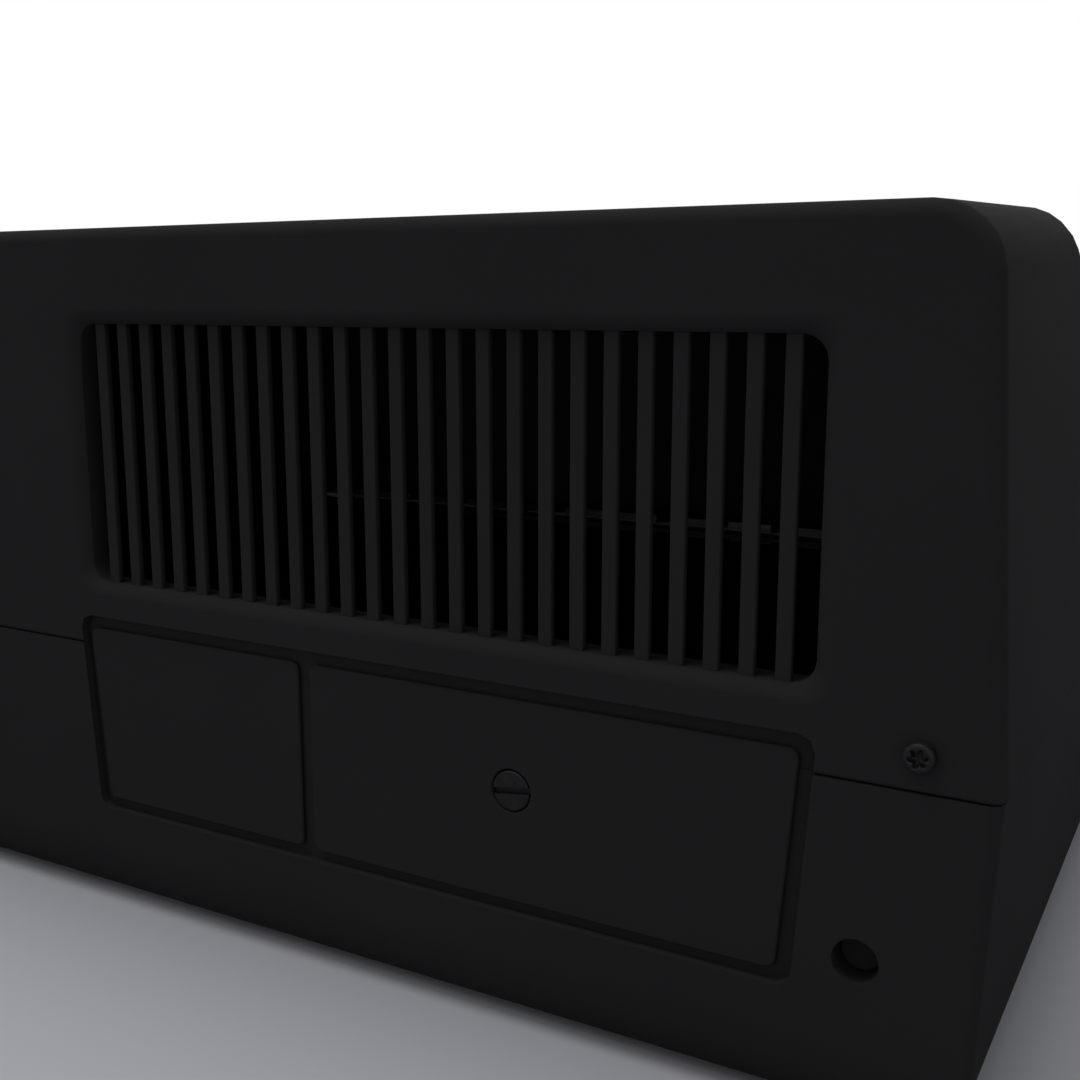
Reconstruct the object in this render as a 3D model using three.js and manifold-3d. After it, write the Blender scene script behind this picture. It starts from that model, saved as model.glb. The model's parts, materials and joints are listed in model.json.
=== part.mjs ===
// A home computer of the early eighties: a two-piece moulded case with a raised rear housing and a
// sloping keyboard deck. Millimetres, +Z up, the user sits at -Y, the rear panel faces +Y.
// The origin is on the floor, under the middle of the computer.
import * as THREE from "three";
import { mergeVertices } from "three/addons/utils/BufferGeometryUtils.js";
import Module from "manifold-3d";

const wasm = await Module();
wasm.setup();

// Case
const footHeight = 2.2; // floor to underside
const trayHeight = 66.3; // underside to seam
const coverHeight = 101.2; // seam to top, at the rear face
const humpDepth = 92; // rear face to the front edge of the raised housing
const humpFrontRun = 30; // how far the housing's front leans forward on its way down
const deckRearHeight = 25.5; // seam to deck, at the foot of the housing
const deckFrontHeight = 8.5; // seam to deck, at the front face
const topRiseAngle = 2.3; // degrees, the top climbs towards its front edge
const coverFlareAngle = 3.65; // degrees, the cover's sides lean in going up
const trayTaperAngle = 2.6; // degrees, the tray's sides lean in going down
const wall = 3;
const edgeRadius = 3.1; // round the rear face
const shoulderRadius = 12.5; // long top edges, seen from behind
const shoulderShare = 0.6; // of the cover's height where that is low
const humpFrontRadius = 12.5;
const humpFootRadius = 10;
const frontRadius = 7;
const lipRadius = 1.2; // round the cover's lower edge
const trayInset = 0.5; // the tray's sides stand this far inside the cover's
const trayFootCornerRadius = 1.6; // rear upright corner, at the underside
const bottomRoundHeight = 14.6;
const bottomRoundInset = 5.5;
const leastRadius = 0.5;
const seat = 0.3; // gap between pieces that rest on each other
const overrun = 5; // how far a cut runs past the face that it opens
const weld = 0.2; // how far a rib or boss is sunk into what carries it
const weldDistance = 0.0005; // vertices closer than this are one

// Seam tongue: stands on the tray's rim, inside the cover
const tongueHeight = 2.5;
const tongueThickness = 1.6;
const tongueRoot = 7;

// Vent in the rear face
const ventFromSide = 30.7; // near side of the case to the bevel's outer edge
const ventAboveSeam = 12.9;
const ventFromFarSide = 137.5;
const ventBelowTop = 18.5;
const ventCornerRadius = 4.8;
const ventBevelWidth = 3.6;
const ventBevelDepth = 2.4;
const ventRimDepth = 6.7;
const ventRimWall = 2.5;
const slatPitch = 7.3;
const slatWidth = 3.2;
const slatThickness = 2.3;
const grilleHiddenEnd = 0.8; // slots run this far behind the rim
const grilleBorder = 2.2;

// Recess for the two slot covers, across the seam
const recessFromSide = 33.1;
const recessAboveSeam = 7.4;
const recessFromFarSide = 137.3;
const recessHeight = 50.2;
const recessLean = 3.5; // each end leans in by this much, top to bottom
const recessDepth = 2.5;
const recessCornerRadius = 3.3;
const recessFloorWall = 4;
const recessBackingMargin = 3;

// Slot covers
const coverPlateMargin = 3.4; // recess edge to plate edge, at the near end and the top
const coverPlateFarMargin = 2.1;
const coverPlateBottomMargin = 2.4;
const coverPlateGap = 3.2; // between the two plates
const coverPlateSetBack = 1.1; // rear face of the case to the plates' faces
const coverPlateCornerRadius = 1.8;
const largePlateShare = 0.633; // of the two plates' width
const plugClearance = 0.4;
const plugDepth = 2.4;
const slotMargin = 7; // plate edge to the slot behind it
const slotTopMargin = 3.8; // seam to the slots
const slotCornerRadius = 2;

// Coin-slot fastener on the large slot cover
const fastenerShare = 0.538; // of the large plate's top edge, from its near end
const fastenerBelowSeam = 15.9;
const fastenerHeadRadius = 4.35;
const fastenerHeadHeight = 1.8;
const fastenerShankRadius = 2.5;
const fastenerLength = 11;
const coinSlotWidth = 1.4;
const coinSlotDepth = 1.2;
const coinSlotTilt = 8; // degrees
const mullionWidth = 18;
const fastenerBossWall = 1.6;
const fastenerBossFloor = 1;

// Six-lobe screws that hold the cover to the tray's upright tabs
const screwFromSide = 14.5;
const screwAboveSeam = 7.2;
const screwHeadRadius = 2.8;
const screwHeadHeight = 2.4;
const screwDomeHeight = 0.8;
const screwShankRadius = 1.5;
const screwLength = 10;
const lobeOuterRadius = 1.4;
const lobeInnerRadius = 1.0;
const lobeDepth = 1.4;
const lobeCount = 6;
const lobePoints = 4; // to each lobe
const tabWidth = 12;
const tabThickness = 4;
const tabHeight = 14; // above the seam

// Recessed reset button near the corner
const resetFromSide = 24.4;
const resetBelowSeam = 34.2;
const resetHoleRadius = 4.4;
const resetSetBack = 4.8;
const resetTravel = 1.5;
const resetCollarWall = 2;
const resetCollarDepth = 13;
const resetStopRadius = 6;
const resetStopThickness = 1.5;

// Sockets and switch on the far part of the rear face
const socketsBelowSeam = 28;
const videoFromInlet = 22;
const videoNoseRadius = 7.2;
const videoBodyWidth = 19;
const videoPinRadius = 0.9;
const videoPinCircleRadius = 4.2;
const videoPinCount = 5;
const videoPinStep = 45; // degrees
const videoMiddlePinAngle = -90; // degrees, straight down
const inletFromSwitch = 24;
const inletNoseRadius = 4.6;
const inletBodyWidth = 13;
const inletBoreRadius = 2.9;
const inletPinRadius = 1;
const socketDepth = 14;
const socketBoreDepth = 9;
const socketNoseSetBack = 0.6;
const shelfThickness = 3;
const switchFromFarSide = 38;
const rockerWidth = 12;
const rockerHeight = 21;
const rockerAxisDepth = 4.2; // behind the rear face
const rockerTilt = 8; // degrees either way
const rockerBellyRadius = 7;
const rockerProud = 1;
const trunnionRadius = 1.8;
const trunnionLength = 3;
const earThickness = 3;
const earReach = 9;

// Main board
const boardThickness = 1.6;
const boardDepth = 150;
const boardSideMargin = 16;
const boardSocketGap = 2.7; // behind the board, to the sockets' bodies
const postHeight = 8;
const postRadius = 4;
const pegRadius = 1.5;
const pegHeight = 3.2;
const postMargin = 12;

// Packages soldered to the main board; places are shares of its width and of its depth in front of the sink
const chipWidth = 38;
const chipDepth = 14;
const chipHeight = 4.5;
const memoryWidth = 7.5;
const memoryDepth = 20;
const memoryHeight = 4;
const memoryCount = 8;
const canRadius = 6;
const canHeight = 18;
const modulatorWidth = 36;
const modulatorDepth = 24;
const modulatorHeight = 18;
const chipShares = [[0.14, 0.86], [0.14, 0.5], [0.3, 0.5], [0.3, 0.2], [0.46, 0.2]];
const canShares = [[0.86, 0.7], [0.86, 0.45], [0.93, 0.57]];
const memoryRowShare = 0.8;
const memoryStartShare = 0.32;
const memoryPitchShare = 0.055;

// Riser with the expansion socket
const riserWidth = 100;
const riserBehindFace = 30;
const riserTopBelowSeam = 3;
const socketHousingWidth = 92;
const socketHousingHeight = 16;
const socketHousingDepth = 13;
const cardSlotHeight = 3.2;
const cardSlotDepth = 9;
const cardSlotEndWall = 4;

// Heat sink behind the vent
const sinkWidth = 72;
const sinkHeight = 52;
const sinkDepth = 30;
const sinkRiserGap = 4.4;
const sinkBase = 4;
const finCount = 9;
const finThickness = 2;

// Keyboard
const keyPitch = 19.05;
const capGap = 0.85; // between neighbouring caps
const capHeight = 8.6;
const capWall = 1.4;
const capSideDraft = 2.5;
const capFrontDraft = 3.2;
const capRearDraft = 1.4;
const capCornerRadius = 1.4;
const capEdgeRound = 0.7;
const capLift = 0.8; // skirt above the deck
const keyTravel = 3.8;
const stemWidth = 4.6;
const stemBelowDeck = 5.6;
const switchWidth = 13.8;
const switchFloor = 1;
const pressClearance = 0.6; // left under a cap and a stem at the end of their travel
const plateTopBelowDeck = 7.5;
const plateThickness = 1.5;
const plateMargin = 14;
const keyboardBehindFoot = 30; // foot of the housing to the first row
const palmDepth = 52.75; // last row to the front face
const openingClearance = 0.9;
const openingCornerRadius = 1.2;
const bossRadius = 3.5;
const bossInset = 6;
const spaceStemInset = 12.4; // end of the space bar to its outer stems

// Speaker under the deck, beside the keyboard
const speakerRadius = 24;
const speakerRimThickness = 2;
const speakerDepth = 16;
const magnetRadius = 13;
const magnetHeight = 8;
const coneRootRadius = 9;
const coneWall = 1;
const speakerSideMargin = 12.925; // rim to the case's widest line
const speakerRingWall = 1.6;
const speakerRingHeight = 4;
const speakerSlotCount = 7;
const speakerSlotWidth = 2.4;
const speakerSlotPitch = 5.4;
const speakerSlotShare = 0.86; // of the cone's chord at that slot

// Feet
const footStripWidth = 11;
const footStripLength = 270;
const footGroove = 1.2;
const footFromEnd = 34;
const footCornerRadius = 3.6;

// Facets
const arcSteps = 4;
const shoulderSteps = 6;
const smallArcSteps = 2;
const capArcSteps = 1;
const roundSides = 24;
const speakerSides = 12;
const smallSides = 8;

// Rows from the rear: the keys, and where a row starts as a share of a key's pitch
const wideKeyShare = 1.25;
const spaceBarShare = 5.5;
const spaceStartShare = 2.75;
const keyWidthShares = { shift: wideKeyShare, return: wideKeyShare, space: spaceBarShare };
const keyRows = [
  { startShare: 0, keys: ["1", "2", "3", "4", "5", "6", "7", "8", "9", "0"] },
  { startShare: 0.5, keys: ["q", "w", "e", "r", "t", "y", "u", "i", "o", "p"] },
  { startShare: 0.75, keys: ["a", "s", "d", "f", "g", "h", "j", "k", "l", "return"] },
  { startShare: 0, keys: ["shift", "z", "x", "c", "v", "b", "n", "m", "comma", "period"] },
  { startShare: spaceStartShare, keys: ["space"] },
];
const widthShare = (name) => keyWidthShares[name] ?? 1;
function rowEndShare({ startShare, keys }) {
  return keys.reduce((end, name) => end + widthShare(name), startShare);
}

// Places that follow from the sizes
const keyboardDepth = keyRows.length * keyPitch;
const keyboardWidth = Math.max(...keyRows.map(rowEndShare)) * keyPitch;
const sideDepth = plateMargin + seat + 2 * speakerRadius + speakerSideMargin;
const caseWidth = keyboardWidth + 2 * sideDepth; // at the cover's lower edge, the widest line
const deckDepth = keyboardBehindFoot + keyboardDepth + palmDepth;
const caseDepth = humpDepth + humpFrontRun + deckDepth; // front face to rear face
const headProud = screwHeadHeight + seat;
const rearY = (caseDepth - headProud) / 2;
const frontY = rearY - caseDepth;
const nearX = -caseWidth / 2;
const farX = caseWidth / 2;
const undersideZ = footHeight;
const seamZ = undersideZ + trayHeight;
const trayTopZ = seamZ - seat;
const floorZ = undersideZ + wall;
const flare = THREE.MathUtils.degToRad(coverFlareAngle);
const taper = THREE.MathUtils.degToRad(trayTaperAngle);
const topRise = Math.tan(THREE.MathUtils.degToRad(topRiseAngle));
const rearTopZ = seamZ + coverHeight;
const humpFrontY = rearY - humpDepth;
const humpFootY = humpFrontY - humpFrontRun;
const deckRearZ = seamZ + deckRearHeight;
const deckFrontZ = seamZ + deckFrontHeight;
const deckAngle = Math.atan2(deckRearZ - deckFrontZ, humpFootY - frontY);
const boardZ = floorZ + postHeight + seat;
const boardTopZ = boardZ + boardThickness;
const boardRearY = rearY - wall - seat - socketDepth - boardSocketGap;
const boardFrontY = boardRearY - boardDepth;
const boardHalfWidth = caseWidth / 2 - boardSideMargin;
const switchTopBelowDeck = keyTravel - capLift + pressClearance;
const switchBottomBelowDeck = stemBelowDeck + keyTravel + pressClearance + switchFloor;

// Materials
const caseFinish = { color: 0x1b1b1c, roughness: 0.62, metalness: 0 };
const capFinish = { color: 0x2b2b2e, roughness: 0.55, metalness: 0 };
const platePaintFinish = { color: 0x1d1d1f, roughness: 0.6, metalness: 0 };
const darkSteelFinish = { color: 0x3b3c3f, roughness: 0.45, metalness: 1 };
const anodisedFinish = { color: 0x1b1b1c, roughness: 0.5, metalness: 0.6 };
const boardFinish = { color: 0x1d4a2c, roughness: 0.5, metalness: 0 };
const rubberFinish = { color: 0x141414, roughness: 0.9, metalness: 0 };
const socketFinish = { color: 0x101011, roughness: 0.5, metalness: 0 };

const point = (x, y) => new THREE.Vector2(x, y);
const material = (finish) => new THREE.MeshStandardMaterial(finish);

// Solids and meshes

function toSolid(geometry) {
  const bare = geometry.clone();
  bare.deleteAttribute("normal");
  bare.deleteAttribute("uv");
  const merged = mergeVertices(bare, weldDistance);
  const vertProperties = new Float32Array(merged.attributes.position.array);
  const triVerts = new Uint32Array(merged.index.array);
  return new wasm.Manifold(new wasm.Mesh({ numProp: 3, vertProperties, triVerts }));
}

function toMesh(name, solid, finish) {
  const { vertProperties, triVerts } = solid.getMesh();
  const geometry = new THREE.BufferGeometry();
  geometry.setAttribute("position", new THREE.BufferAttribute(new Float32Array(vertProperties), 3));
  geometry.setIndex(new THREE.BufferAttribute(new Uint32Array(triVerts), 1));
  geometry.computeVertexNormals();
  const mesh = new THREE.Mesh(geometry, material(finish));
  mesh.name = name;
  return mesh;
}

const joined = (solids) => solids.reduce((whole, next) => whole.add(next));
const cut = (solid, tools) => tools.reduce((left, tool) => left.subtract(tool), solid);

function box(lowX, highX, lowY, highY, lowZ, highZ) {
  const geometry = new THREE.BoxGeometry(highX - lowX, highY - lowY, highZ - lowZ);
  geometry.translate((lowX + highX) / 2, (lowY + highY) / 2, (lowZ + highZ) / 2);
  return toSolid(geometry);
}

// A round bar from one Y to another.
function barY(radius, x, z, fromY, toY, sides) {
  const geometry = new THREE.CylinderGeometry(radius, radius, toY - fromY, sides);
  geometry.translate(x, (fromY + toY) / 2, z);
  return toSolid(geometry);
}

// A round bar from one Z to another.
function barZ(radius, x, y, fromZ, toZ, sides) {
  const geometry = new THREE.CylinderGeometry(radius, radius, toZ - fromZ, sides);
  geometry.rotateX(Math.PI / 2);
  geometry.translate(x, y, (fromZ + toZ) / 2);
  return toSolid(geometry);
}

// A round bar from one X to another.
function barX(radius, y, z, fromX, toX, sides) {
  const geometry = new THREE.CylinderGeometry(radius, radius, toX - fromX, sides);
  geometry.rotateZ(Math.PI / 2);
  geometry.translate((fromX + toX) / 2, y, z);
  return toSolid(geometry);
}

// The arc that rounds a corner between two straight stretches.
function arcAt(before, corner, after, radius, steps) {
  const back = before.clone().sub(corner).normalize();
  const ahead = after.clone().sub(corner).normalize();
  const half = Math.acos(back.dot(ahead)) / 2;
  const start = corner.clone().addScaledVector(back, radius / Math.tan(half));
  const end = corner.clone().addScaledVector(ahead, radius / Math.tan(half));
  const middle = back.clone().add(ahead).normalize();
  const centre = corner.clone().addScaledVector(middle, radius / Math.sin(half));
  const first = start.clone().sub(centre).angle();
  let sweep = end.clone().sub(centre).angle() - first;
  sweep -= Math.round(sweep / (2 * Math.PI)) * 2 * Math.PI;
  const points = [];
  for (let i = 0; i <= steps; i++) {
    const angle = first + (sweep * i) / steps;
    points.push(point(centre.x + radius * Math.cos(angle), centre.y + radius * Math.sin(angle)));
  }
  return points;
}

// A closed outline with every corner rounded; radii is one value, or one for each corner.
function roundedOutline(corners, radii, steps) {
  const count = corners.length;
  return corners.flatMap((corner, i) => {
    const before = corners[(i + count - 1) % count];
    const after = corners[(i + 1) % count];
    return arcAt(before, corner, after, Array.isArray(radii) ? radii[i] : radii, steps);
  });
}

function rectangle(lowX, highX, lowY, highY) {
  return [point(lowX, lowY), point(highX, lowY), point(highX, highY), point(lowX, highY)];
}

function roundedRectangle(lowX, highX, lowY, highY, radius, steps) {
  return roundedOutline(rectangle(lowX, highX, lowY, highY), radius, steps);
}

// An outline of X and Z values, extruded from one Y forward to another.
function slabY(outline, rear, front) {
  const shape = new THREE.Shape(outline);
  const geometry = new THREE.ExtrudeGeometry(shape, { depth: rear - front, bevelEnabled: false });
  geometry.rotateX(Math.PI / 2);
  geometry.translate(0, rear, 0);
  return toSolid(geometry);
}

// An outline of X and Y values, extruded from one Z up to another.
function slabZ(outline, low, high) {
  const shape = new THREE.Shape(outline);
  const geometry = new THREE.ExtrudeGeometry(shape, { depth: high - low, bevelEnabled: false });
  geometry.translate(0, 0, low);
  return toSolid(geometry);
}

// A skin through rings of equal count, with a flat cap on the first and last ring.
function loft(rings) {
  const count = rings[0].length;
  const positions = rings.flat().flatMap((p) => [p.x, p.y, p.z]);
  const last = (rings.length - 1) * count;
  const index = [];
  for (let r = 0; r < rings.length - 1; r++) {
    for (let i = 0; i < count; i++) {
      const a = r * count + i;
      const b = r * count + ((i + 1) % count);
      index.push(a, b, b + count, a, b + count, a + count);
    }
  }
  for (let i = 1; i < count - 1; i++) {
    index.push(0, i + 1, i, last, last + i, last + i + 1);
  }
  return toSolid(outward(positions, index));
}

// The surface as a geometry whose faces point out.
function outward(positions, index) {
  const at = (i) => new THREE.Vector3().fromArray(positions, index[i] * 3);
  let volume = 0;
  for (let i = 0; i < index.length; i += 3) {
    volume += at(i).dot(at(i + 1).cross(at(i + 2)));
  }
  const faces = volume < 0 ? index.toReversed() : index;
  const geometry = new THREE.BufferGeometry();
  geometry.setAttribute("position", new THREE.Float32BufferAttribute(positions, 3));
  geometry.setIndex(faces);
  return geometry;
}

const ringAtY = (outline, y) => outline.map((p) => new THREE.Vector3(p.x, y, p.y));
const ringAtZ = (outline, z) => outline.map((p) => new THREE.Vector3(p.x, p.y, z));

// Top cover

// How far a side is drawn in near an end face that has a rounded edge.
function endInset(distance, radius) {
  const into = Math.max(radius - distance, 0);
  return radius - Math.sqrt(Math.max(radius * radius - into * into, 0));
}

const halfWidthAt = (z) => caseWidth / 2 - (z - seamZ) * Math.tan(flare);

// The cover's side view: rear face, top, housing front, deck, front face, moved in by an offset.
function sideProfile(offset) {
  const humpFrontZ = rearTopZ + humpDepth * topRise;
  const corners = [
    point(rearY, seamZ - overrun),
    point(rearY, rearTopZ),
    point(humpFrontY, humpFrontZ),
    point(humpFootY, deckRearZ),
    point(frontY, deckFrontZ),
    point(frontY, seamZ - overrun),
  ];
  const moved = corners.map((corner, i) => offsetCorner(corners, i, offset));
  const convex = (radius) => radius - offset;
  const concave = (radius) => radius + offset;
  const radii = [convex(edgeRadius), convex(humpFrontRadius), concave(humpFootRadius), convex(frontRadius)];
  return radii.flatMap((radius, i) =>
    arcAt(moved[i], moved[i + 1], moved[i + 2], Math.max(radius, leastRadius), arcSteps),
  );
}

// A corner of an open path after both its stretches move in by an offset.
function offsetCorner(corners, i, offset) {
  const inwards = (a, b) => point(a.y - b.y, b.x - a.x).normalize().multiplyScalar(offset);
  const first = i > 0 ? inwards(corners[i - 1], corners[i]) : inwards(corners[i], corners[i + 1]);
  const second = i < corners.length - 1 ? inwards(corners[i], corners[i + 1]) : first;
  const sum = first.clone().add(second);
  const scale = offset === 0 ? 0 : (2 * offset * offset) / sum.lengthSq();
  return corners[i].clone().addScaledVector(sum, scale);
}

// One slice across the cover's width, as X and Z values; its lower edge is rounded by a lip radius.
function coverSlice(y, top, offset, bottom, lip) {
  const rearGap = rearY - offset - y;
  const frontGap = y - frontY - offset;
  const rearInset = endInset(rearGap, Math.max(edgeRadius - offset, leastRadius));
  const frontInset = endInset(frontGap, Math.max(frontRadius - offset, leastRadius));
  const inset = offset / Math.cos(flare) + Math.max(rearInset, frontInset);
  const room = (top + offset - seamZ) * shoulderShare;
  const radius = Math.max(Math.min(shoulderRadius, room) - inset, leastRadius);
  const centreZ = top - radius;
  const centreX = halfWidthAt(centreZ) - inset - radius / Math.cos(flare);
  const low = bottom + endInset(Math.min(rearGap, frontGap), lip);
  const right = [];
  for (let i = 0; i <= smallArcSteps; i++) {
    const rise = lip * (1 - Math.cos((i * Math.PI) / 2 / smallArcSteps));
    right.push(point(halfWidthAt(low + rise) - inset - endInset(rise, lip), low + rise));
  }
  for (let i = 0; i <= shoulderSteps; i++) {
    const angle = flare + ((Math.PI / 2 - flare) * i) / shoulderSteps;
    right.push(point(centreX + radius * Math.cos(angle), centreZ + radius * Math.sin(angle)));
  }
  const left = right.toReversed().map((p) => point(-p.x, p.y));
  return [...right, ...left];
}

function coverSkin(offset, bottom, lip) {
  const slices = sideProfile(offset).map((p) => ringAtY(coverSlice(p.x, p.y, offset, bottom, lip), p.x));
  return loft(slices);
}

// The case's plan at the cover's lower edge, drawn in or let out.
function seamPlan(inset, z) {
  const half = halfWidthAt(z) - inset;
  const corners = rectangle(-half, half, frontY + inset, rearY - inset);
  return roundedOutline(corners, [frontRadius, frontRadius, edgeRadius, edgeRadius], arcSteps);
}

const ventLowX = nearX + ventFromSide;
const ventHighX = farX - ventFromFarSide;
const ventLowZ = seamZ + ventAboveSeam;
const ventHighZ = rearTopZ - ventBelowTop;

function ventOutline(inset) {
  const lowZ = ventLowZ + inset;
  const highZ = ventHighZ - inset;
  return roundedRectangle(ventLowX + inset, ventHighX - inset, lowZ, highZ, ventCornerRadius, arcSteps);
}

// The vent's opening: a bevel round its mouth, then a straight duct.
function ventCut() {
  return loft([
    ringAtY(ventOutline(0), rearY + overrun),
    ringAtY(ventOutline(0), rearY),
    ringAtY(ventOutline(ventBevelWidth), rearY - ventBevelDepth),
    ringAtY(ventOutline(ventBevelWidth), rearY - ventRimDepth - overrun),
  ]);
}

function ventRim() {
  return slabY(ventOutline(ventBevelWidth - ventRimWall), rearY - wall + weld, rearY - ventRimDepth);
}

const recessLowX = nearX + recessFromSide;
const recessHighX = farX - recessFromFarSide;
const recessTopZ = seamZ + recessAboveSeam;
const recessBottomZ = recessTopZ - recessHeight;

// The recess's outline, drawn in by margins: a shallow trapezium with upright-ish ends.
function recessCorners(margin, farMargin = margin, bottomMargin = margin) {
  const lowX = recessLowX + margin;
  const highX = recessHighX - farMargin;
  return [
    point(lowX + recessLean, recessBottomZ + bottomMargin),
    point(highX - recessLean, recessBottomZ + bottomMargin),
    point(highX, recessTopZ - margin),
    point(lowX, recessTopZ - margin),
  ];
}

function recessCut() {
  const outline = roundedOutline(recessCorners(0), recessCornerRadius, smallArcSteps);
  return slabY(outline, rearY + overrun, rearY - recessDepth);
}

// The thickened wall behind the recess, between two heights.
function recessBacking(low, high) {
  const lowX = recessLowX - recessBackingMargin;
  const highX = recessHighX + recessBackingMargin;
  return box(lowX, highX, rearY - recessDepth - recessFloorWall, rearY - wall + weld, low, high);
}

// Where a screw stands: one at each rear corner.
const screwXs = [nearX + screwFromSide, farX - screwFromSide];
const screwZ = seamZ + screwAboveSeam;

// The deck's own frame: X across, Y up the slope, Z square to the deck, origin at the keyboard's middle.
function deckFrame() {
  const along = keyboardBehindFoot + keyboardDepth / 2;
  const y = humpFootY - along * Math.cos(deckAngle);
  const z = deckRearZ - along * Math.sin(deckAngle);
  const slope = new THREE.Matrix4().makeRotationX(deckAngle);
  return new THREE.Matrix4().makeTranslation(0, y, z).multiply(slope);
}

const onDeck = (solid) => solid.transform(deckFrame().toArray());

const rowY = (row) => keyboardDepth / 2 - row * keyPitch - keyPitch / 2;

// Every key: its name, its row and the middle of its cap across the deck.
function keyPlaces() {
  return keyRows.flatMap((row, rowIndex) => {
    let edge = row.startShare * keyPitch - keyboardWidth / 2;
    return row.keys.map((name) => {
      const width = widthShare(name) * keyPitch;
      edge += width;
      return { name, width, x: edge - width / 2, y: rowY(rowIndex) };
    });
  });
}

// One slot in the deck for each row, which together make the stepped opening.
function keyboardOpening() {
  return keyRows.map((row, i) => {
    const lowX = row.startShare * keyPitch - keyboardWidth / 2 - openingClearance;
    const highX = rowEndShare(row) * keyPitch - keyboardWidth / 2 + openingClearance;
    const lowY = rowY(i) - keyPitch / 2 - openingClearance;
    const highY = rowY(i) + keyPitch / 2 + openingClearance;
    const outline = roundedRectangle(lowX, highX, lowY, highY, openingCornerRadius, smallArcSteps);
    return onDeck(slabZ(outline, -wall - overrun, overrun));
  });
}

// Where the keyboard's plate hangs from the deck: four corners and the middle of both long sides.
function bossPlaces() {
  const x = keyboardWidth / 2 + plateMargin - bossInset;
  const y = keyboardDepth / 2 + plateMargin - bossInset;
  return [-x, 0, x].flatMap((bossX) => [point(bossX, -y), point(bossX, y)]);
}

function keyboardBosses() {
  return bossPlaces().flatMap((p) => [
    barZ(bossRadius, p.x, p.y, seat - plateTopBelowDeck, weld - wall, smallSides),
    barZ(pegRadius, p.x, p.y, -plateTopBelowDeck - plateThickness - pegHeight, -wall, smallSides),
  ]);
}

const speakerX = farX - speakerSideMargin - speakerRadius;
const speakerY = keyboardDepth / 2 - speakerRadius;

// A ring under the deck that holds the speaker's rim.
function speakerRing() {
  const outer = speakerRadius + seat + speakerRingWall;
  const low = -wall - speakerRingHeight;
  const ring = barZ(outer, speakerX, speakerY, low, weld - wall, roundSides);
  return ring.subtract(barZ(speakerRadius + seat, speakerX, speakerY, low - overrun, -wall, roundSides));
}

// Slots over the speaker, each as long as the cone is wide there.
function speakerSlots() {
  const slots = [];
  for (let i = 0; i < speakerSlotCount; i++) {
    const off = (i - (speakerSlotCount - 1) / 2) * speakerSlotPitch;
    const half = Math.sqrt(speakerRadius * speakerRadius - off * off) * speakerSlotShare;
    const lowY = speakerY + off - speakerSlotWidth / 2;
    slots.push(
      box(speakerX - half, speakerX + half, lowY, lowY + speakerSlotWidth, -wall - overrun, overrun),
    );
  }
  return slots;
}

function topCover() {
  const shell = coverSkin(0, seamZ, lipRadius).subtract(coverSkin(wall, seamZ - overrun, weld));
  const backing = recessBacking(seamZ, recessTopZ + recessBackingMargin);
  const deckParts = joined([...keyboardBosses(), speakerRing()]);
  const whole = joined([shell, ventRim(), backing, onDeck(deckParts)]);
  const screwHoles = screwXs.map((x) =>
    barY(screwShankRadius + seat, x, screwZ, rearY - wall - overrun, rearY + overrun, smallSides),
  );
  const deckCuts = [...keyboardOpening(), onDeck(joined(speakerSlots()))];
  return cut(whole, [ventCut(), recessCut(), ...screwHoles, ...deckCuts]);
}

// The insert behind the vent's rim, with upright slats counted from its far end.
function ventGrille() {
  const lowX = ventLowX + ventBevelWidth;
  const highX = ventHighX - ventBevelWidth;
  const lowZ = ventLowZ + ventBevelWidth - grilleHiddenEnd;
  const highZ = ventHighZ - ventBevelWidth + grilleHiddenEnd;
  const slatCount = Math.floor((highX - lowX) / slatPitch);
  const rear = rearY - ventRimDepth - seat;
  const front = rear - slatThickness;
  const slots = [];
  for (let i = 0; i < slatCount; i++) {
    const slotHigh = highX - i * slatPitch - slatWidth;
    const slotLow = i < slatCount - 1 ? slotHigh - (slatPitch - slatWidth) : lowX;
    slots.push(box(slotLow, slotHigh, front - overrun, rear + overrun, lowZ, highZ));
  }
  const border = grilleBorder;
  const plate = box(lowX - border, highX + border, front, rear, lowZ - border, highZ + border);
  return cut(plate, slots);
}

// Bottom tray

function trayPlan(z, offset) {
  const drop = seamZ - z;
  const low = Math.max(1 - (z - undersideZ) / bottomRoundHeight, 0);
  const rounding = bottomRoundInset * (1 - Math.sqrt(1 - low * low));
  const half = caseWidth / 2 - trayInset - drop * Math.tan(taper) - offset - rounding;
  const front = frontY + trayInset + drop * Math.tan(taper) + offset + rounding;
  const rear = rearY - offset - rounding;
  const shrink = (edgeRadius - trayFootCornerRadius) * (drop / trayHeight);
  const rearRadius = Math.max(edgeRadius - shrink - offset, leastRadius);
  const sideRadius = Math.max(frontRadius - offset, leastRadius);
  const corners = rectangle(-half, half, front, rear);
  return roundedOutline(corners, [sideRadius, sideRadius, rearRadius, rearRadius], arcSteps);
}

function traySkin(offset, bottom, top) {
  const rings = [ringAtZ(trayPlan(Math.min(top, seamZ), offset), top)];
  for (let i = 0; i <= arcSteps; i++) {
    const share = Math.sin((i * Math.PI) / 2 / arcSteps);
    const z = undersideZ + bottomRoundHeight * (1 - share);
    if (z > bottom) rings.push(ringAtZ(trayPlan(z, offset), z));
  }
  rings.push(ringAtZ(trayPlan(bottom, offset), bottom));
  return loft(rings);
}

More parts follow.
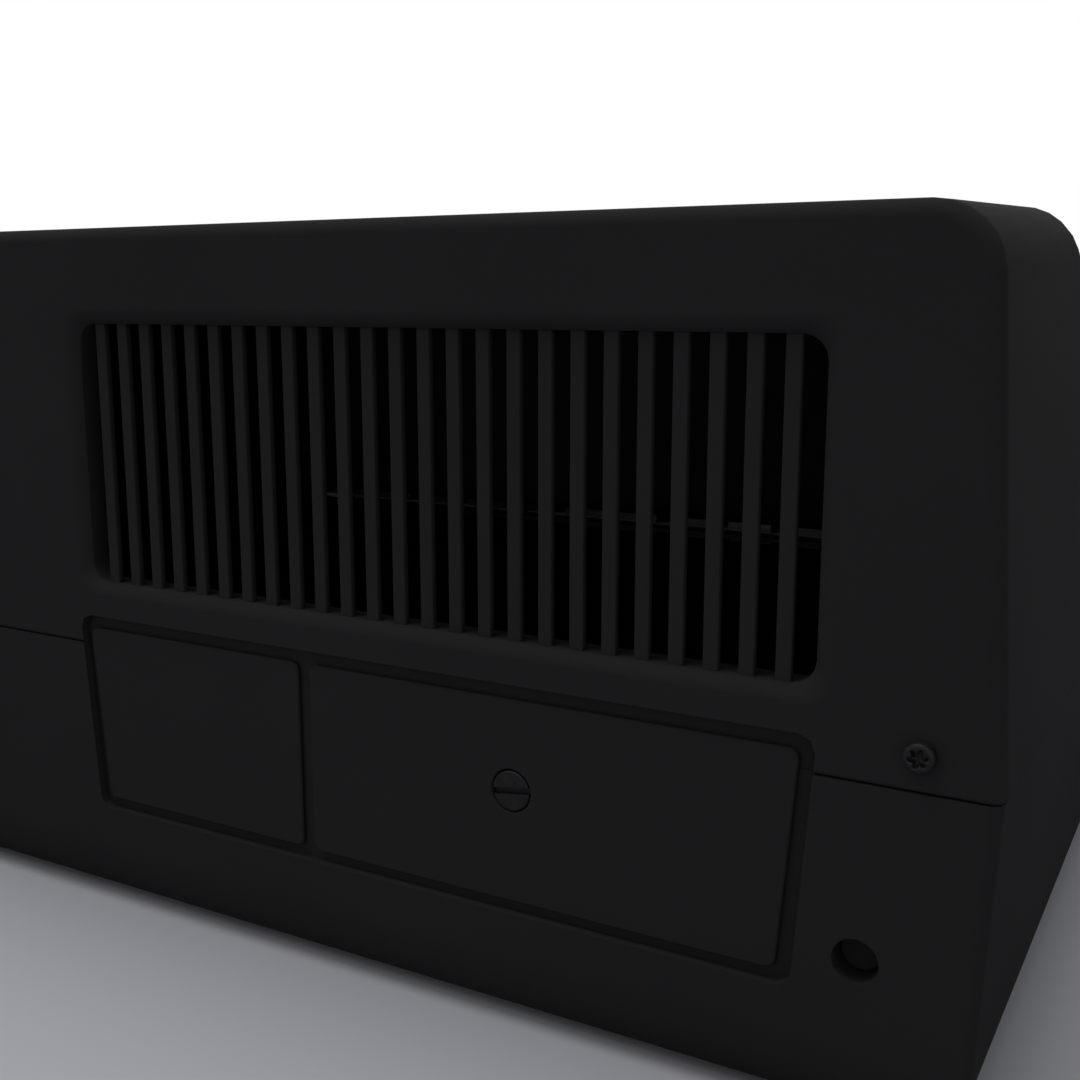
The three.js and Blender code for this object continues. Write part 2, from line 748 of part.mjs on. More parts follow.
// The tongue along the tray's rim, left open along the rear face.
function seamTongue() {
  const outerInset = wall + seat;
  const innerInset = outerInset + tongueThickness;
  const ring = (inset, low, high) =>
    loft([low, high].map((z) => ringAtZ(seamPlan(inset, seamZ), z)));
  const high = seamZ + tongueHeight;
  const low = trayTopZ - tongueRoot;
  const band = ring(outerInset, low, high).subtract(ring(innerInset, low - overrun, high + overrun));
  const rearStart = rearY - recessDepth - recessFloorWall - edgeRadius;
  return band.subtract(box(nearX, farX, rearStart, rearY, low - overrun, high + overrun));
}

// An upright tab behind the cover's rear wall, which the case screw bites into.
function screwTab(x) {
  const rear = rearY - wall - seat;
  const top = seamZ + tabHeight;
  const lowX = x - tabWidth / 2;
  const highX = x + tabWidth / 2;
  const tab = box(lowX, highX, rear - tabThickness, rear, floorZ - weld, top);
  const root = box(lowX, highX, rear - weld, rearY - wall + weld, floorZ - weld, trayTopZ);
  return tab.add(root);
}

const slotTopZ = seamZ - slotTopMargin;
const slotBottomZ = recessBottomZ + coverPlateBottomMargin + slotMargin;
const plateLowX = recessLowX + coverPlateMargin;
const platesHighX = recessHighX - coverPlateFarMargin;
const platesWidth = platesHighX - plateLowX - coverPlateGap;
const plateSplitX = plateLowX + platesWidth * largePlateShare;
const fastenerX = plateLowX + (plateSplitX - plateLowX) * fastenerShare;
const fastenerZ = seamZ - fastenerBelowSeam;

// The two slot covers' outlines inside the recess, small one on the far side.
function plateCorners(large, margin) {
  const margins = [coverPlateMargin, coverPlateFarMargin, coverPlateBottomMargin];
  const [lowLeft, lowRight, highRight, highLeft] = recessCorners(...margins);
  const low = lowLeft.y + margin;
  const high = highLeft.y - margin;
  if (large) {
    return [
      point(lowLeft.x + margin, low),
      point(plateSplitX - margin, low),
      point(plateSplitX - margin, high),
      point(highLeft.x + margin, high),
    ];
  }
  const start = plateSplitX + coverPlateGap;
  return [
    point(start + margin, low),
    point(lowRight.x - margin, low),
    point(highRight.x - margin, high),
    point(start + margin, high),
  ];
}

// The slots behind the covers, as low X, high X pairs; the large one is parted by the fastener's mullion.
function slotSpans() {
  const large = plateCorners(true, slotMargin);
  const small = plateCorners(false, slotMargin);
  return [
    [large[0].x, fastenerX - mullionWidth / 2],
    [fastenerX + mullionWidth / 2, large[1].x],
    [small[0].x, small[1].x],
  ];
}

function slotOutline([lowX, highX], inset) {
  return roundedRectangle(
    lowX + inset, highX - inset, slotBottomZ + inset, slotTopZ - inset, slotCornerRadius, smallArcSteps,
  );
}

const resetX = nearX + resetFromSide;
const resetZ = seamZ - resetBelowSeam;

// A sleeve behind the wall that guides the reset button.
function resetCollar() {
  const radius = resetHoleRadius + resetCollarWall;
  return barY(radius, resetX, resetZ, rearY - resetCollarDepth, rearY - wall + weld, roundSides);
}

const socketZ = seamZ - socketsBelowSeam;
const switchX = farX - switchFromFarSide;
const inletX = switchX - inletFromSwitch;
const videoX = inletX - videoFromInlet;

// A shelf on a rib, under the body of a socket.
function socketShelf(x, bodyWidth) {
  const top = socketZ - bodyWidth / 2 - seat;
  const rear = rearY - wall + weld;
  const front = rearY - wall - seat - socketDepth;
  const shelf = box(x - bodyWidth / 2, x + bodyWidth / 2, front, rear, top - shelfThickness, top);
  const rib = box(x - shelfThickness / 2, x + shelfThickness / 2, front, rear, floorZ - weld, top);
  return shelf.add(rib);
}

const rockerAxisY = rearY - rockerAxisDepth;

// Two ears behind the wall that carry the rocker's trunnions.
function rockerEars() {
  const half = trunnionRadius + earThickness;
  const inner = rockerWidth / 2 + seat;
  const rear = rearY - wall + weld;
  return [switchX - inner - earThickness, switchX + inner].map((x) =>
    box(x, x + earThickness, rearY - earReach, rear, socketZ - half, socketZ + half),
  );
}

function rockerCuts() {
  const half = rockerWidth / 2 + seat;
  const tilt = THREE.MathUtils.degToRad(rockerTilt);
  const swing = (rockerHeight / 2) * Math.cos(tilt) + (rockerAxisDepth + rockerProud) * Math.sin(tilt);
  const low = socketZ - swing - seat;
  const high = socketZ + swing + seat;
  const reach = rockerWidth / 2 + 2 * seat + trunnionLength;
  return [
    box(switchX - half, switchX + half, rearY - wall - overrun, rearY + overrun, low, high),
    barX(trunnionRadius + seat, rockerAxisY, socketZ, switchX - reach, switchX + reach, smallSides),
  ];
}

// Where the main board stands: three pegs along its front edge and three along its rear edge.
function postPlaces() {
  const x = boardHalfWidth - postMargin;
  const ys = [boardFrontY + postMargin, boardRearY - postMargin];
  return [-x, 0, x].flatMap((postX) => ys.map((postY) => point(postX, postY)));
}

function boardPosts() {
  return postPlaces().flatMap((p) => [
    barZ(postRadius, p.x, p.y, floorZ - weld, floorZ + postHeight, smallSides),
    barZ(pegRadius, p.x, p.y, floorZ, boardTopZ + pegHeight, smallSides),
  ]);
}

// Where the two foot strips lie, as the middle of each strip.
const footYs = [frontY + footFromEnd, rearY - footFromEnd];

function footGrooveCut(y) {
  const halfLength = footStripLength / 2 + seat;
  const halfWidth = footStripWidth / 2 + seat;
  const low = undersideZ - overrun;
  return box(-halfLength, halfLength, y - halfWidth, y + halfWidth, low, undersideZ + footGroove);
}

function bottomTray() {
  const shell = traySkin(0, undersideZ, trayTopZ).subtract(traySkin(wall, floorZ, trayTopZ + overrun));
  const whole = joined([
    shell,
    seamTongue(),
    recessBacking(recessBottomZ - recessBackingMargin, trayTopZ),
    ...screwXs.map(screwTab),
    resetCollar(),
    socketShelf(videoX, videoBodyWidth),
    socketShelf(inletX, inletBodyWidth),
    ...rockerEars(),
    ...boardPosts(),
  ]);
  const through = (radius, x, z, depth) => barY(radius, x, z, rearY - depth, rearY + overrun, roundSides);
  const pastRecess = recessDepth + recessFloorWall + overrun;
  return cut(whole, [
    recessCut(),
    ...slotSpans().map((span) => slabY(slotOutline(span, 0), rearY, rearY - pastRecess)),
    through(fastenerShankRadius + seat, fastenerX, fastenerZ, pastRecess),
    through(bossOuterRadius + seat, fastenerX, fastenerZ, rearY - bossBackY + seat),
    through(resetHoleRadius, resetX, resetZ, resetCollarDepth + overrun),
    through(videoNoseRadius + seat, videoX, socketZ, wall + seat),
    through(inletNoseRadius + seat, inletX, socketZ, wall + seat),
    ...screwXs.map((x) => through(screwShankRadius + seat, x, screwZ, wall + screwLength + overrun)),
    ...rockerCuts(),
    ...footYs.map(footGrooveCut),
  ]);
}

// Rear panel pieces

const plateFaceY = rearY - coverPlateSetBack;
const plateBackY = rearY - recessDepth + seat;
const headSeatY = plateFaceY - fastenerHeadHeight - seat;
const bossBackY = headSeatY - fastenerBossFloor;
const bossOuterRadius = fastenerHeadRadius + seat + fastenerBossWall;

function slotPlate(large) {
  const outline = roundedOutline(plateCorners(large, 0), coverPlateCornerRadius, smallArcSteps);
  return slabY(outline, plateFaceY, plateBackY);
}

// The raised pad on a cover's back that fills its slot.
function plug(span) {
  return slabY(slotOutline(span, plugClearance), plateBackY + weld, plateBackY - seat - plugDepth);
}

function smallSlotCover() {
  return slotPlate(false).add(plug(slotSpans()[2]));
}

function largeSlotCover() {
  const [nearSpan, farSpan] = slotSpans();
  const boss = barY(bossOuterRadius, fastenerX, fastenerZ, bossBackY, plateBackY + weld, roundSides);
  const whole = joined([slotPlate(true), plug(nearSpan), plug(farSpan), boss]);
  const head = fastenerHeadRadius + seat;
  const shank = fastenerShankRadius + seat;
  return cut(whole, [
    barY(head, fastenerX, fastenerZ, headSeatY, plateFaceY + overrun, roundSides),
    barY(shank, fastenerX, fastenerZ, bossBackY - overrun, headSeatY + weld, roundSides),
  ]);
}

// A stepped stud with a coin slot across its flat head.
function slotCoverFastener() {
  const step = plateFaceY - fastenerHeadHeight;
  const end = plateFaceY - fastenerLength;
  const head = barY(fastenerHeadRadius, fastenerX, fastenerZ, step, plateFaceY, roundSides);
  const shank = barY(fastenerShankRadius, fastenerX, fastenerZ, end, step + weld, roundSides);
  const blade = new THREE.BoxGeometry(2 * fastenerHeadRadius + overrun, 2 * coinSlotDepth, coinSlotWidth);
  blade.rotateY(THREE.MathUtils.degToRad(coinSlotTilt));
  blade.translate(fastenerX, plateFaceY, fastenerZ);
  return head.add(shank).subtract(toSolid(blade));
}

// The six-lobe recess in a screw's head, as a wavy outline.
function lobeOutline(x, z) {
  const outline = [];
  const steps = lobeCount * lobePoints;
  for (let i = 0; i < steps; i++) {
    const angle = (i * 2 * Math.PI) / steps;
    const wave = (1 + Math.cos(lobeCount * angle)) / 2;
    const radius = lobeInnerRadius + (lobeOuterRadius - lobeInnerRadius) * wave;
    outline.push(point(x + radius * Math.cos(angle), z + radius * Math.sin(angle)));
  }
  return outline;
}

// A pan-head screw: a drum with a domed rim, over a plain shank.
function caseScrew(x) {
  const seatY = rearY + seat;
  const topY = seatY + screwHeadHeight;
  const domeRadius = screwHeadRadius - screwDomeHeight;
  const domeZ = screwHeadHeight - screwDomeHeight;
  const profile = [point(0, 0), point(screwHeadRadius, 0)];
  for (let i = 0; i <= smallArcSteps; i++) {
    const angle = (i * Math.PI) / 2 / smallArcSteps;
    const out = screwDomeHeight * Math.cos(angle);
    profile.push(point(domeRadius + out, domeZ + screwDomeHeight * Math.sin(angle)));
  }
  profile.push(point(0, screwHeadHeight));
  const turned = new THREE.LatheGeometry(profile, roundSides);
  turned.translate(x, seatY, screwZ);
  const head = toSolid(turned);
  const shank = barY(screwShankRadius, x, screwZ, rearY - screwLength, seatY + weld, smallSides);
  return head.add(shank).subtract(slabY(lobeOutline(x, screwZ), topY + overrun, topY - lobeDepth));
}

// A flat-faced plunger with a stop flange behind its sleeve.
function resetButton() {
  const face = rearY - resetSetBack;
  const stopRear = rearY - resetCollarDepth - seat;
  const stopFront = stopRear - resetStopThickness;
  return joined([
    barY(resetHoleRadius - seat, resetX, resetZ, stopFront - resetTravel, face, roundSides),
    barY(resetStopRadius, resetX, resetZ, stopFront, stopRear, roundSides),
  ]);
}

// A moulded socket body behind the wall with a round nose in the wall's hole.
function socketBody(x, bodyWidth, noseRadius) {
  const rear = rearY - wall - seat;
  const half = bodyWidth / 2;
  const body = box(x - half, x + half, rear - socketDepth, rear, socketZ - half, socketZ + half);
  return body.add(barY(noseRadius, x, socketZ, rear - weld, rearY - socketNoseSetBack, roundSides));
}

function videoSocket() {
  const pins = [];
  for (let i = 0; i < videoPinCount; i++) {
    const turn = (i - (videoPinCount - 1) / 2) * videoPinStep;
    const angle = THREE.MathUtils.degToRad(videoMiddlePinAngle + turn);
    const pinX = videoX + videoPinCircleRadius * Math.cos(angle);
    const pinZ = socketZ + videoPinCircleRadius * Math.sin(angle);
    pins.push(barY(videoPinRadius, pinX, pinZ, rearY - socketBoreDepth, rearY + overrun, smallSides));
  }
  return cut(socketBody(videoX, videoBodyWidth, videoNoseRadius), pins);
}

function powerInlet() {
  const floorY = rearY - socketBoreDepth;
  const bore = barY(inletBoreRadius, inletX, socketZ, floorY, rearY + overrun, roundSides);
  const pin = barY(inletPinRadius, inletX, socketZ, floorY - weld, rearY - wall, smallSides);
  return socketBody(inletX, inletBodyWidth, inletNoseRadius).subtract(bore).add(pin);
}

// A rocker with two flat faces and a round belly, at rest on its lower stop.
function powerRocker() {
  const half = rockerHeight / 2;
  const slope = Math.tan(THREE.MathUtils.degToRad(rockerTilt));
  const face = rockerAxisDepth + rockerProud;
  const outline = [point(0, face - half * slope), point(-half, face), point(-half, rockerProud)];
  for (let i = 0; i <= arcSteps; i++) {
    const angle = Math.PI + (i * Math.PI) / arcSteps;
    outline.push(point(rockerBellyRadius * Math.cos(angle), rockerBellyRadius * Math.sin(angle)));
  }
  outline.push(point(half, rockerProud), point(half, face));
  const shape = new THREE.Shape(outline);
  const geometry = new THREE.ExtrudeGeometry(shape, { depth: rockerWidth, bevelEnabled: false });
  geometry.translate(0, 0, -rockerWidth / 2);
  geometry.applyMatrix4(new THREE.Matrix4().makeBasis(
    new THREE.Vector3(0, 0, 1), new THREE.Vector3(0, 1, 0), new THREE.Vector3(-1, 0, 0),
  ));
  geometry.rotateX(THREE.MathUtils.degToRad(rockerTilt));
  geometry.translate(switchX, rockerAxisY, socketZ);
  const reach = rockerWidth / 2 + seat + trunnionLength;
  const lowX = switchX - reach;
  const trunnions = barX(trunnionRadius, rockerAxisY, socketZ, lowX, lowX + 2 * reach, smallSides);
  return toSolid(geometry).add(trunnions);
}

// Inside the case

const riserRearY = rearY - riserBehindFace;
const sinkRearY = riserRearY - boardThickness - sinkRiserGap;
const sinkFrontY = sinkRearY - sinkDepth;
const boardX = (share) => -boardHalfWidth + share * 2 * boardHalfWidth;
const boardY = (share) => boardFrontY + share * (sinkFrontY - boardFrontY);

// A package soldered to the board, round a middle in X and Y.
function packageAt(x, y, width, depth, height) {
  const lowX = x - width / 2;
  const lowY = y - depth / 2;
  return box(lowX, lowX + width, lowY, lowY + depth, boardTopZ - weld, boardTopZ + height);
}

function mainBoard() {
  const outline = rectangle(-boardHalfWidth, boardHalfWidth, boardFrontY, boardRearY);
  const packages = chipShares.map(([x, y]) =>
    packageAt(boardX(x), boardY(y), chipWidth, chipDepth, chipHeight),
  );
  for (let i = 0; i < memoryCount; i++) {
    const x = boardX(memoryStartShare + i * memoryPitchShare);
    packages.push(packageAt(x, boardY(memoryRowShare), memoryWidth, memoryDepth, memoryHeight));
  }
  const modulatorY = boardRearY - modulatorDepth / 2;
  packages.push(packageAt(videoX, modulatorY, modulatorWidth, modulatorDepth, modulatorHeight));
  const cans = canShares.map(([x, y]) =>
    barZ(canRadius, boardX(x), boardY(y), boardTopZ - weld, boardTopZ + canHeight, smallSides),
  );
  const board = joined([slabZ(outline, boardZ, boardTopZ), ...packages, ...cans]);
  const pegHoles = postPlaces().map((p) =>
    barZ(pegRadius + seat, p.x, p.y, boardZ - overrun, boardTopZ + overrun, smallSides),
  );
  return cut(board, pegHoles);
}

// A small upright board with the expansion socket on its rear side.
function expansionRiser() {
  const rear = riserRearY;
  const top = seamZ - riserTopBelowSeam;
  const x = fastenerX;
  const lowX = x - riserWidth / 2;
  const card = box(lowX, lowX + riserWidth, rear - boardThickness, rear, boardTopZ + seat, top);
  const middle = (slotTopZ + slotBottomZ) / 2;
  const half = socketHousingWidth / 2;
  const halfHeight = socketHousingHeight / 2;
  const face = rear + socketHousingDepth;
  const housing = box(x - half, x + half, rear - weld, face, middle - halfHeight, middle + halfHeight);
  const slotHalf = half - cardSlotEndWall;
  const slotLow = middle - cardSlotHeight / 2;
  const slotHigh = middle + cardSlotHeight / 2;
  const slot = box(x - slotHalf, x + slotHalf, face - cardSlotDepth, face + overrun, slotLow, slotHigh);
  return card.add(housing).subtract(slot);
}

// A finned extrusion standing on the board, fins upright.
function heatSink() {
  const x = (ventLowX + ventHighX - sinkWidth) / 2;
  const rear = sinkRearY;
  const outline = [point(x, sinkFrontY), point(x, rear)];
  const pitch = (sinkWidth - finThickness) / (finCount - 1);
  const root = sinkFrontY + sinkBase;
  for (let i = 0; i < finCount; i++) {
    const low = x + i * pitch;
    if (i > 0) outline.push(point(low, root), point(low, rear));
    outline.push(point(low + finThickness, rear));
    if (i < finCount - 1) outline.push(point(low + finThickness, root));
  }
  outline.push(point(x + sinkWidth, sinkFrontY));
  return slabZ(outline.toReversed(), boardTopZ + seat, boardTopZ + seat + sinkHeight);
}

// Keyboard, in the deck's frame

// One cap's plan at a height, as low and high edges drawn in from the skirt.
function capRing(width, inset, rise, z) {
  const share = rise / capHeight;
  const half = (width - capGap) / 2 - inset - capSideDraft * share;
  const low = -(keyPitch - capGap) / 2 + inset + capFrontDraft * share;
  const high = (keyPitch - capGap) / 2 - inset - capRearDraft * share;
  const radius = Math.max(capCornerRadius - inset / 2, leastRadius);
  return ringAtZ(roundedRectangle(-half, half, low, high, radius, capArcSteps), z);
}

function keyCap(width, stemXs) {
  const top = capLift + capHeight;
  const shoulder = capHeight - capEdgeRound;
  const outer = loft([
    capRing(width, 0, 0, capLift),
    capRing(width, 0, shoulder, capLift + shoulder),
    capRing(width, capEdgeRound, capHeight, top),
  ]);
  const inner = loft([
    capRing(width, capWall, 0, capLift - weld),
    capRing(width, capWall, capHeight - capWall, top - capWall),
  ]);
  const half = stemWidth / 2;
  const stemTop = top - capWall + weld;
  const stems = stemXs.map((x) => box(x - half, x + half, -half, half, -stemBelowDeck, stemTop));
  return joined([outer.subtract(inner), ...stems]);
}

// Where a key's stems stand across its width: one in the middle, and one near each end of the space bar.
function stemXsOf({ name, width }) {
  const reach = width / 2 - spaceStemInset;
  return name === "space" ? [-reach, 0, reach] : [0];
}

// The steel plate with one switch housing for each stem.
function keyboardPlate() {
  const halfX = keyboardWidth / 2 + plateMargin;
  const halfY = keyboardDepth / 2 + plateMargin;
  const top = -plateTopBelowDeck;
  const plate = box(-halfX, halfX, -halfY, halfY, top - plateThickness, top);
  const holes = bossPlaces().map((p) =>
    barZ(pegRadius + seat, p.x, p.y, top - plateThickness - overrun, top + overrun, smallSides),
  );
  const half = switchWidth / 2;
  const well = stemWidth / 2 + seat;
  const stems = keyPlaces().flatMap((key) => stemXsOf(key).map((x) => point(key.x + x, key.y)));
  const housings = stems.map((p) =>
    box(p.x - half, p.x + half, p.y - half, p.y + half, -switchBottomBelowDeck, -switchTopBelowDeck),
  );
  const wells = stems.map((p) =>
    box(p.x - well, p.x + well, p.y - well, p.y + well, switchFloor - switchBottomBelowDeck, overrun),
  );
  return cut(joined([plate, ...housings]), [...wells, ...holes]);
}

// An open-backed cone in a round rim, with its magnet below.
function speaker() {
  const top = -wall - seat;
  const profile = [
    point(0, top - speakerDepth),
    point(magnetRadius, top - speakerDepth),
    point(magnetRadius, top - speakerDepth + magnetHeight),
    point(coneRootRadius + coneWall, top - speakerDepth + magnetHeight),
    point(speakerRadius - speakerRimThickness, top - speakerRimThickness),
    point(speakerRadius, top - speakerRimThickness),
    point(speakerRadius, top),
    point(speakerRadius - speakerRimThickness, top),
    point(coneRootRadius, top - speakerDepth + magnetHeight + coneWall),
    point(0, top - speakerDepth + magnetHeight + coneWall),
  ];
  const geometry = new THREE.LatheGeometry(profile, speakerSides);
  geometry.rotateX(Math.PI / 2);
  geometry.translate(speakerX, speakerY, 0);
  return toSolid(geometry);
}

function footStrip(y) {
  const half = footStripLength / 2;
  const low = y - footStripWidth / 2;
  const outline = roundedRectangle(-half, half, low, low + footStripWidth, footCornerRadius, arcSteps);
  return slabZ(outline, 0, undersideZ + footGroove - seat);
}

// Assembly

const computer = new THREE.Group();
computer.add(
  toMesh("bottom_tray", bottomTray(), caseFinish),
  toMesh("top_cover", topCover(), caseFinish),
  toMesh("vent_grille", ventGrille(), caseFinish),
  toMesh("small_slot_cover", smallSlotCover(), caseFinish),
  toMesh("large_slot_cover", largeSlotCover(), caseFinish),
  toMesh("slot_cover_fastener", slotCoverFastener(), darkSteelFinish),
  toMesh("near_case_screw", caseScrew(screwXs[0]), darkSteelFinish),
  toMesh("far_case_screw", caseScrew(screwXs[1]), darkSteelFinish),
  toMesh("reset_button", resetButton(), caseFinish),
  toMesh("video_socket", videoSocket(), socketFinish),
  toMesh("power_inlet", powerInlet(), socketFinish),
  toMesh("power_rocker", powerRocker(), socketFinish),
  toMesh("main_board", mainBoard(), boardFinish),
  toMesh("expansion_riser", expansionRiser(), boardFinish),
  toMesh("heat_sink", heatSink(), anodisedFinish),
  toMesh("front_foot_strip", footStrip(footYs[0]), rubberFinish),
  toMesh("rear_foot_strip", footStrip(footYs[1]), rubberFinish),
);

const deck = new THREE.Group();
deck.applyMatrix4(deckFrame());
deck.add(toMesh("keyboard_plate", keyboardPlate(), platePaintFinish));
deck.add(toMesh("speaker", speaker(), darkSteelFinish));
for (const key of keyPlaces()) {
  const name = key.name === "space" ? "space_bar" : "key_" + key.name;
  const cap = toMesh(name, keyCap(key.width, stemXsOf(key)), capFinish);
  cap.position.set(key.x, key.y, 0);
  deck.add(cap);
}
computer.add(deck);

export default computer;
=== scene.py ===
import json
import math

import bmesh
import bpy
from mathutils import Matrix, Vector
from mathutils.bvhtree import BVHTree


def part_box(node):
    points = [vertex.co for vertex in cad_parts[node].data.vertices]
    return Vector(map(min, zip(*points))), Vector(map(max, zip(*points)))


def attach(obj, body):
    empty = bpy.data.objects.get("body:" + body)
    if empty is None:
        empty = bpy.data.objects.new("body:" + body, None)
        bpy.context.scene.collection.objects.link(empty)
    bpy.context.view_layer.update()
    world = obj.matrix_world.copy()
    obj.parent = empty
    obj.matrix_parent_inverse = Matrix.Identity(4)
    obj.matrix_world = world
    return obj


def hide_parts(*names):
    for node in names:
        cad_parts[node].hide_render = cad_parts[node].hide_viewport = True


# Looks for the home computer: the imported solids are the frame, and what is built here rides on them.
# Metres, +Z up, the user sits at -Y and the rear panel faces +Y. In the looks of the pieces, lengths
# are millimetres and angles degrees.

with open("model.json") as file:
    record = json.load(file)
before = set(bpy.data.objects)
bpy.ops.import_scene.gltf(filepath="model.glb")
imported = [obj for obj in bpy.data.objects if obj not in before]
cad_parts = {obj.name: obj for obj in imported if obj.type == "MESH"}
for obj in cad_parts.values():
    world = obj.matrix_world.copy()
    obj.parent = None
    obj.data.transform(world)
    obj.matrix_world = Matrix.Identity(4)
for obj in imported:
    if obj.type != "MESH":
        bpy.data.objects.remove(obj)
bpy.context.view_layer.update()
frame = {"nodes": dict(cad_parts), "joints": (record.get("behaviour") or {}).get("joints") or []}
nodes = frame["nodes"]
mm = 0.001
print("frame loaded:", len(nodes), "solids")


# Helpers for objects and for nodes

def addObject(name, data):
    thing = bpy.data.objects.new(name, data)
    bpy.context.scene.collection.objects.link(thing)
    return thing


def addNode(tree, kind, values=(), **settings):
    # The values are constants on the node's inputs, by label
    node = tree.nodes.new(kind)
    for key, value in settings.items():
        setattr(node, key, value)
    for label, value in dict(values).items():
        node.inputs[label].default_value = value
    return node


def wire(tree, *links):
    for source, output, target, socket in links:
        tree.links.new(source.outputs[output], target.inputs[socket])


def newMaterial(name, specular):
    finish = bpy.data.materials.new(name)
    finish.use_nodes = True
    shader = finish.node_tree.nodes["Principled BSDF"]
    shader.inputs["Specular IOR Level"].default_value = specular
    return finish, finish.node_tree, shader


# Cloudy colour between two tones and cloudy roughness between two values, under a fine grain;
# "clouds" is their scale, and "grain" is its scale, its strength and its height in metres

mottle = {
    "colourStops": (0.30, 0.70),
    "cloudDetail": 6.0,
    "cloudRoughness": 0.62,
    "grainDetail": 3.0,
    "pitShare": 0.7,
    "rubShare": 3.0,
    "rubDetail": 4.0,
    "rubRange": (0.3, 0.7),
}


def mottledFinish(name, look):
    finish, tree, shader = newMaterial(name, look["specular"])
    shader.inputs["Metallic"].default_value = look.get("metallic", 0.0)
    place = addNode(tree, "ShaderNodeTexCoord")
    clouds = addNode(tree, "ShaderNodeTexNoise", {
        "Scale": look["clouds"], "Detail": mottle["cloudDetail"], "Roughness": mottle["cloudRoughness"]})
    tint = addNode(tree, "ShaderNodeValToRGB")
    colours = (look["dark"], look["light"])
    for stop, position, colour in zip(tint.color_ramp.elements, mottle["colourStops"], colours):
        stop.position = position
        stop.color = (*colour, 1.0)
    grainScale, grainStrength, grainHeight = look["grain"]
    grain = addNode(tree, "ShaderNodeTexNoise", {"Scale": grainScale, "Detail": mottle["grainDetail"]})
    pits = addNode(tree, "ShaderNodeTexVoronoi", {"Scale": grainScale * mottle["pitShare"]})
    both = addNode(tree, "ShaderNodeMath", operation="ADD")
    bump = addNode(tree, "ShaderNodeBump", {"Strength": grainStrength, "Distance": grainHeight})
    rubbed = addNode(tree, "ShaderNodeTexNoise", {
        "Scale": look["clouds"] * mottle["rubShare"], "Detail": mottle["rubDetail"]})
    sheen = addNode(tree, "ShaderNodeMapRange", {
        "From Min": mottle["rubRange"][0], "From Max": mottle["rubRange"][1],
        "To Min": look["rough"][0], "To Max": look["rough"][1]})
    wire(
        tree, (place, "Object", clouds, "Vector"), (clouds, "Fac", tint, "Fac"),
        (tint, "Color", shader, "Base Color"), (sheen, "Result", shader, "Roughness"),
        (place, "Object", grain, "Vector"), (place, "Object", pits, "Vector"),
        (grain, "Fac", both, 0), (pits, "Distance", both, 1),
        (both, "Value", bump, "Height"), (bump, "Normal", shader, "Normal"),
        (place, "Object", rubbed, "Vector"), (rubbed, "Fac", sheen, "Value"))
    return finish


casePlastic = mottledFinish("casePlastic", {
    "dark": (0.0168, 0.0168, 0.0177), "light": (0.0192, 0.0192, 0.0202),
    "clouds": 9.0, "grain": (1500.0, 0.12, 0.00005), "rough": (0.60, 0.64), "specular": 0.002})
keyPlastic = mottledFinish("keyPlastic", {
    "dark": (0.020, 0.020, 0.022), "light": (0.028, 0.028, 0.030),
    "clouds": 30.0, "grain": (2100.0, 0.14, 0.00004), "rough": (0.38, 0.52), "specular": 0.35})
socketPlastic = mottledFinish("socketPlastic", {
    "dark": (0.0045, 0.0045, 0.0048), "light": (0.0070, 0.0070, 0.0074),
    "clouds": 40.0, "grain": (900.0, 0.05, 0.00002), "rough": (0.28, 0.40), "specular": 0.35})
footRubber = mottledFinish("footRubber", {
    "dark": (0.0060, 0.0060, 0.0060), "light": (0.0110, 0.0110, 0.0108),
    "clouds": 60.0, "grain": (1200.0, 0.25, 0.00008), "rough": (0.80, 0.95), "specular": 0.20})
darkSteel = mottledFinish("darkSteel", {
    "dark": (0.010, 0.010, 0.011), "light": (0.016, 0.016, 0.017),
    "clouds": 700.0, "grain": (4200.0, 0.10, 0.00002), "rough": (0.38, 0.50),
    "specular": 0.12, "metallic": 0.35})
plateSteel = mottledFinish("plateSteel", {
    "dark": (0.0060, 0.0060, 0.0063), "light": (0.0100, 0.0100, 0.0104),
    "clouds": 45.0, "grain": (1800.0, 0.12, 0.00003), "rough": (0.48, 0.60), "specular": 0.12})
blackAnodised = mottledFinish("blackAnodised", {
    "dark": (0.0045, 0.0045, 0.0048), "light": (0.0080, 0.0080, 0.0084),
    "clouds": 60.0, "grain": (2400.0, 0.10, 0.00003), "rough": (0.42, 0.56),
    "specular": 0.2, "metallic": 0.3})
circuitBoard = mottledFinish("circuitBoard", {
    "dark": (0.008, 0.040, 0.018), "light": (0.016, 0.070, 0.030),
    "clouds": 220.0, "grain": (900.0, 0.15, 0.00005), "rough": (0.30, 0.45), "specular": 0.5})
speakerCone = mottledFinish("speakerCone", {
    "dark": (0.0080, 0.0080, 0.0080), "light": (0.0180, 0.0175, 0.0170),
    "clouds": 500.0, "grain": (1600.0, 0.40, 0.00015), "rough": (0.75, 0.92), "specular": 0.25})
legendPaint = mottledFinish("legendPaint", {
    "dark": (0.50, 0.50, 0.48), "light": (0.60, 0.60, 0.58),
    "clouds": 900.0, "grain": (2600.0, 0.10, 0.00002), "rough": (0.45, 0.60), "specular": 0.3})
nickel = mottledFinish("nickel", {
    "dark": (0.34, 0.33, 0.31), "light": (0.48, 0.47, 0.44),
    "clouds": 400.0, "grain": (3000.0, 0.08, 0.00002), "rough": (0.25, 0.40),
    "specular": 0.5, "metallic": 1.0})
capacitorSleeve = mottledFinish("capacitorSleeve", {
    "dark": (0.010, 0.014, 0.040), "light": (0.014, 0.020, 0.055),
    "clouds": 180.0, "grain": (1800.0, 0.05, 0.00002), "rough": (0.30, 0.42), "specular": 0.5})
print("finishes made")


# Helpers for meshes, and how far apart two points may lie that are one

weldDistance = 0.00001
fineWeld = 0.000001
flatAngle = math.radians(0.6)


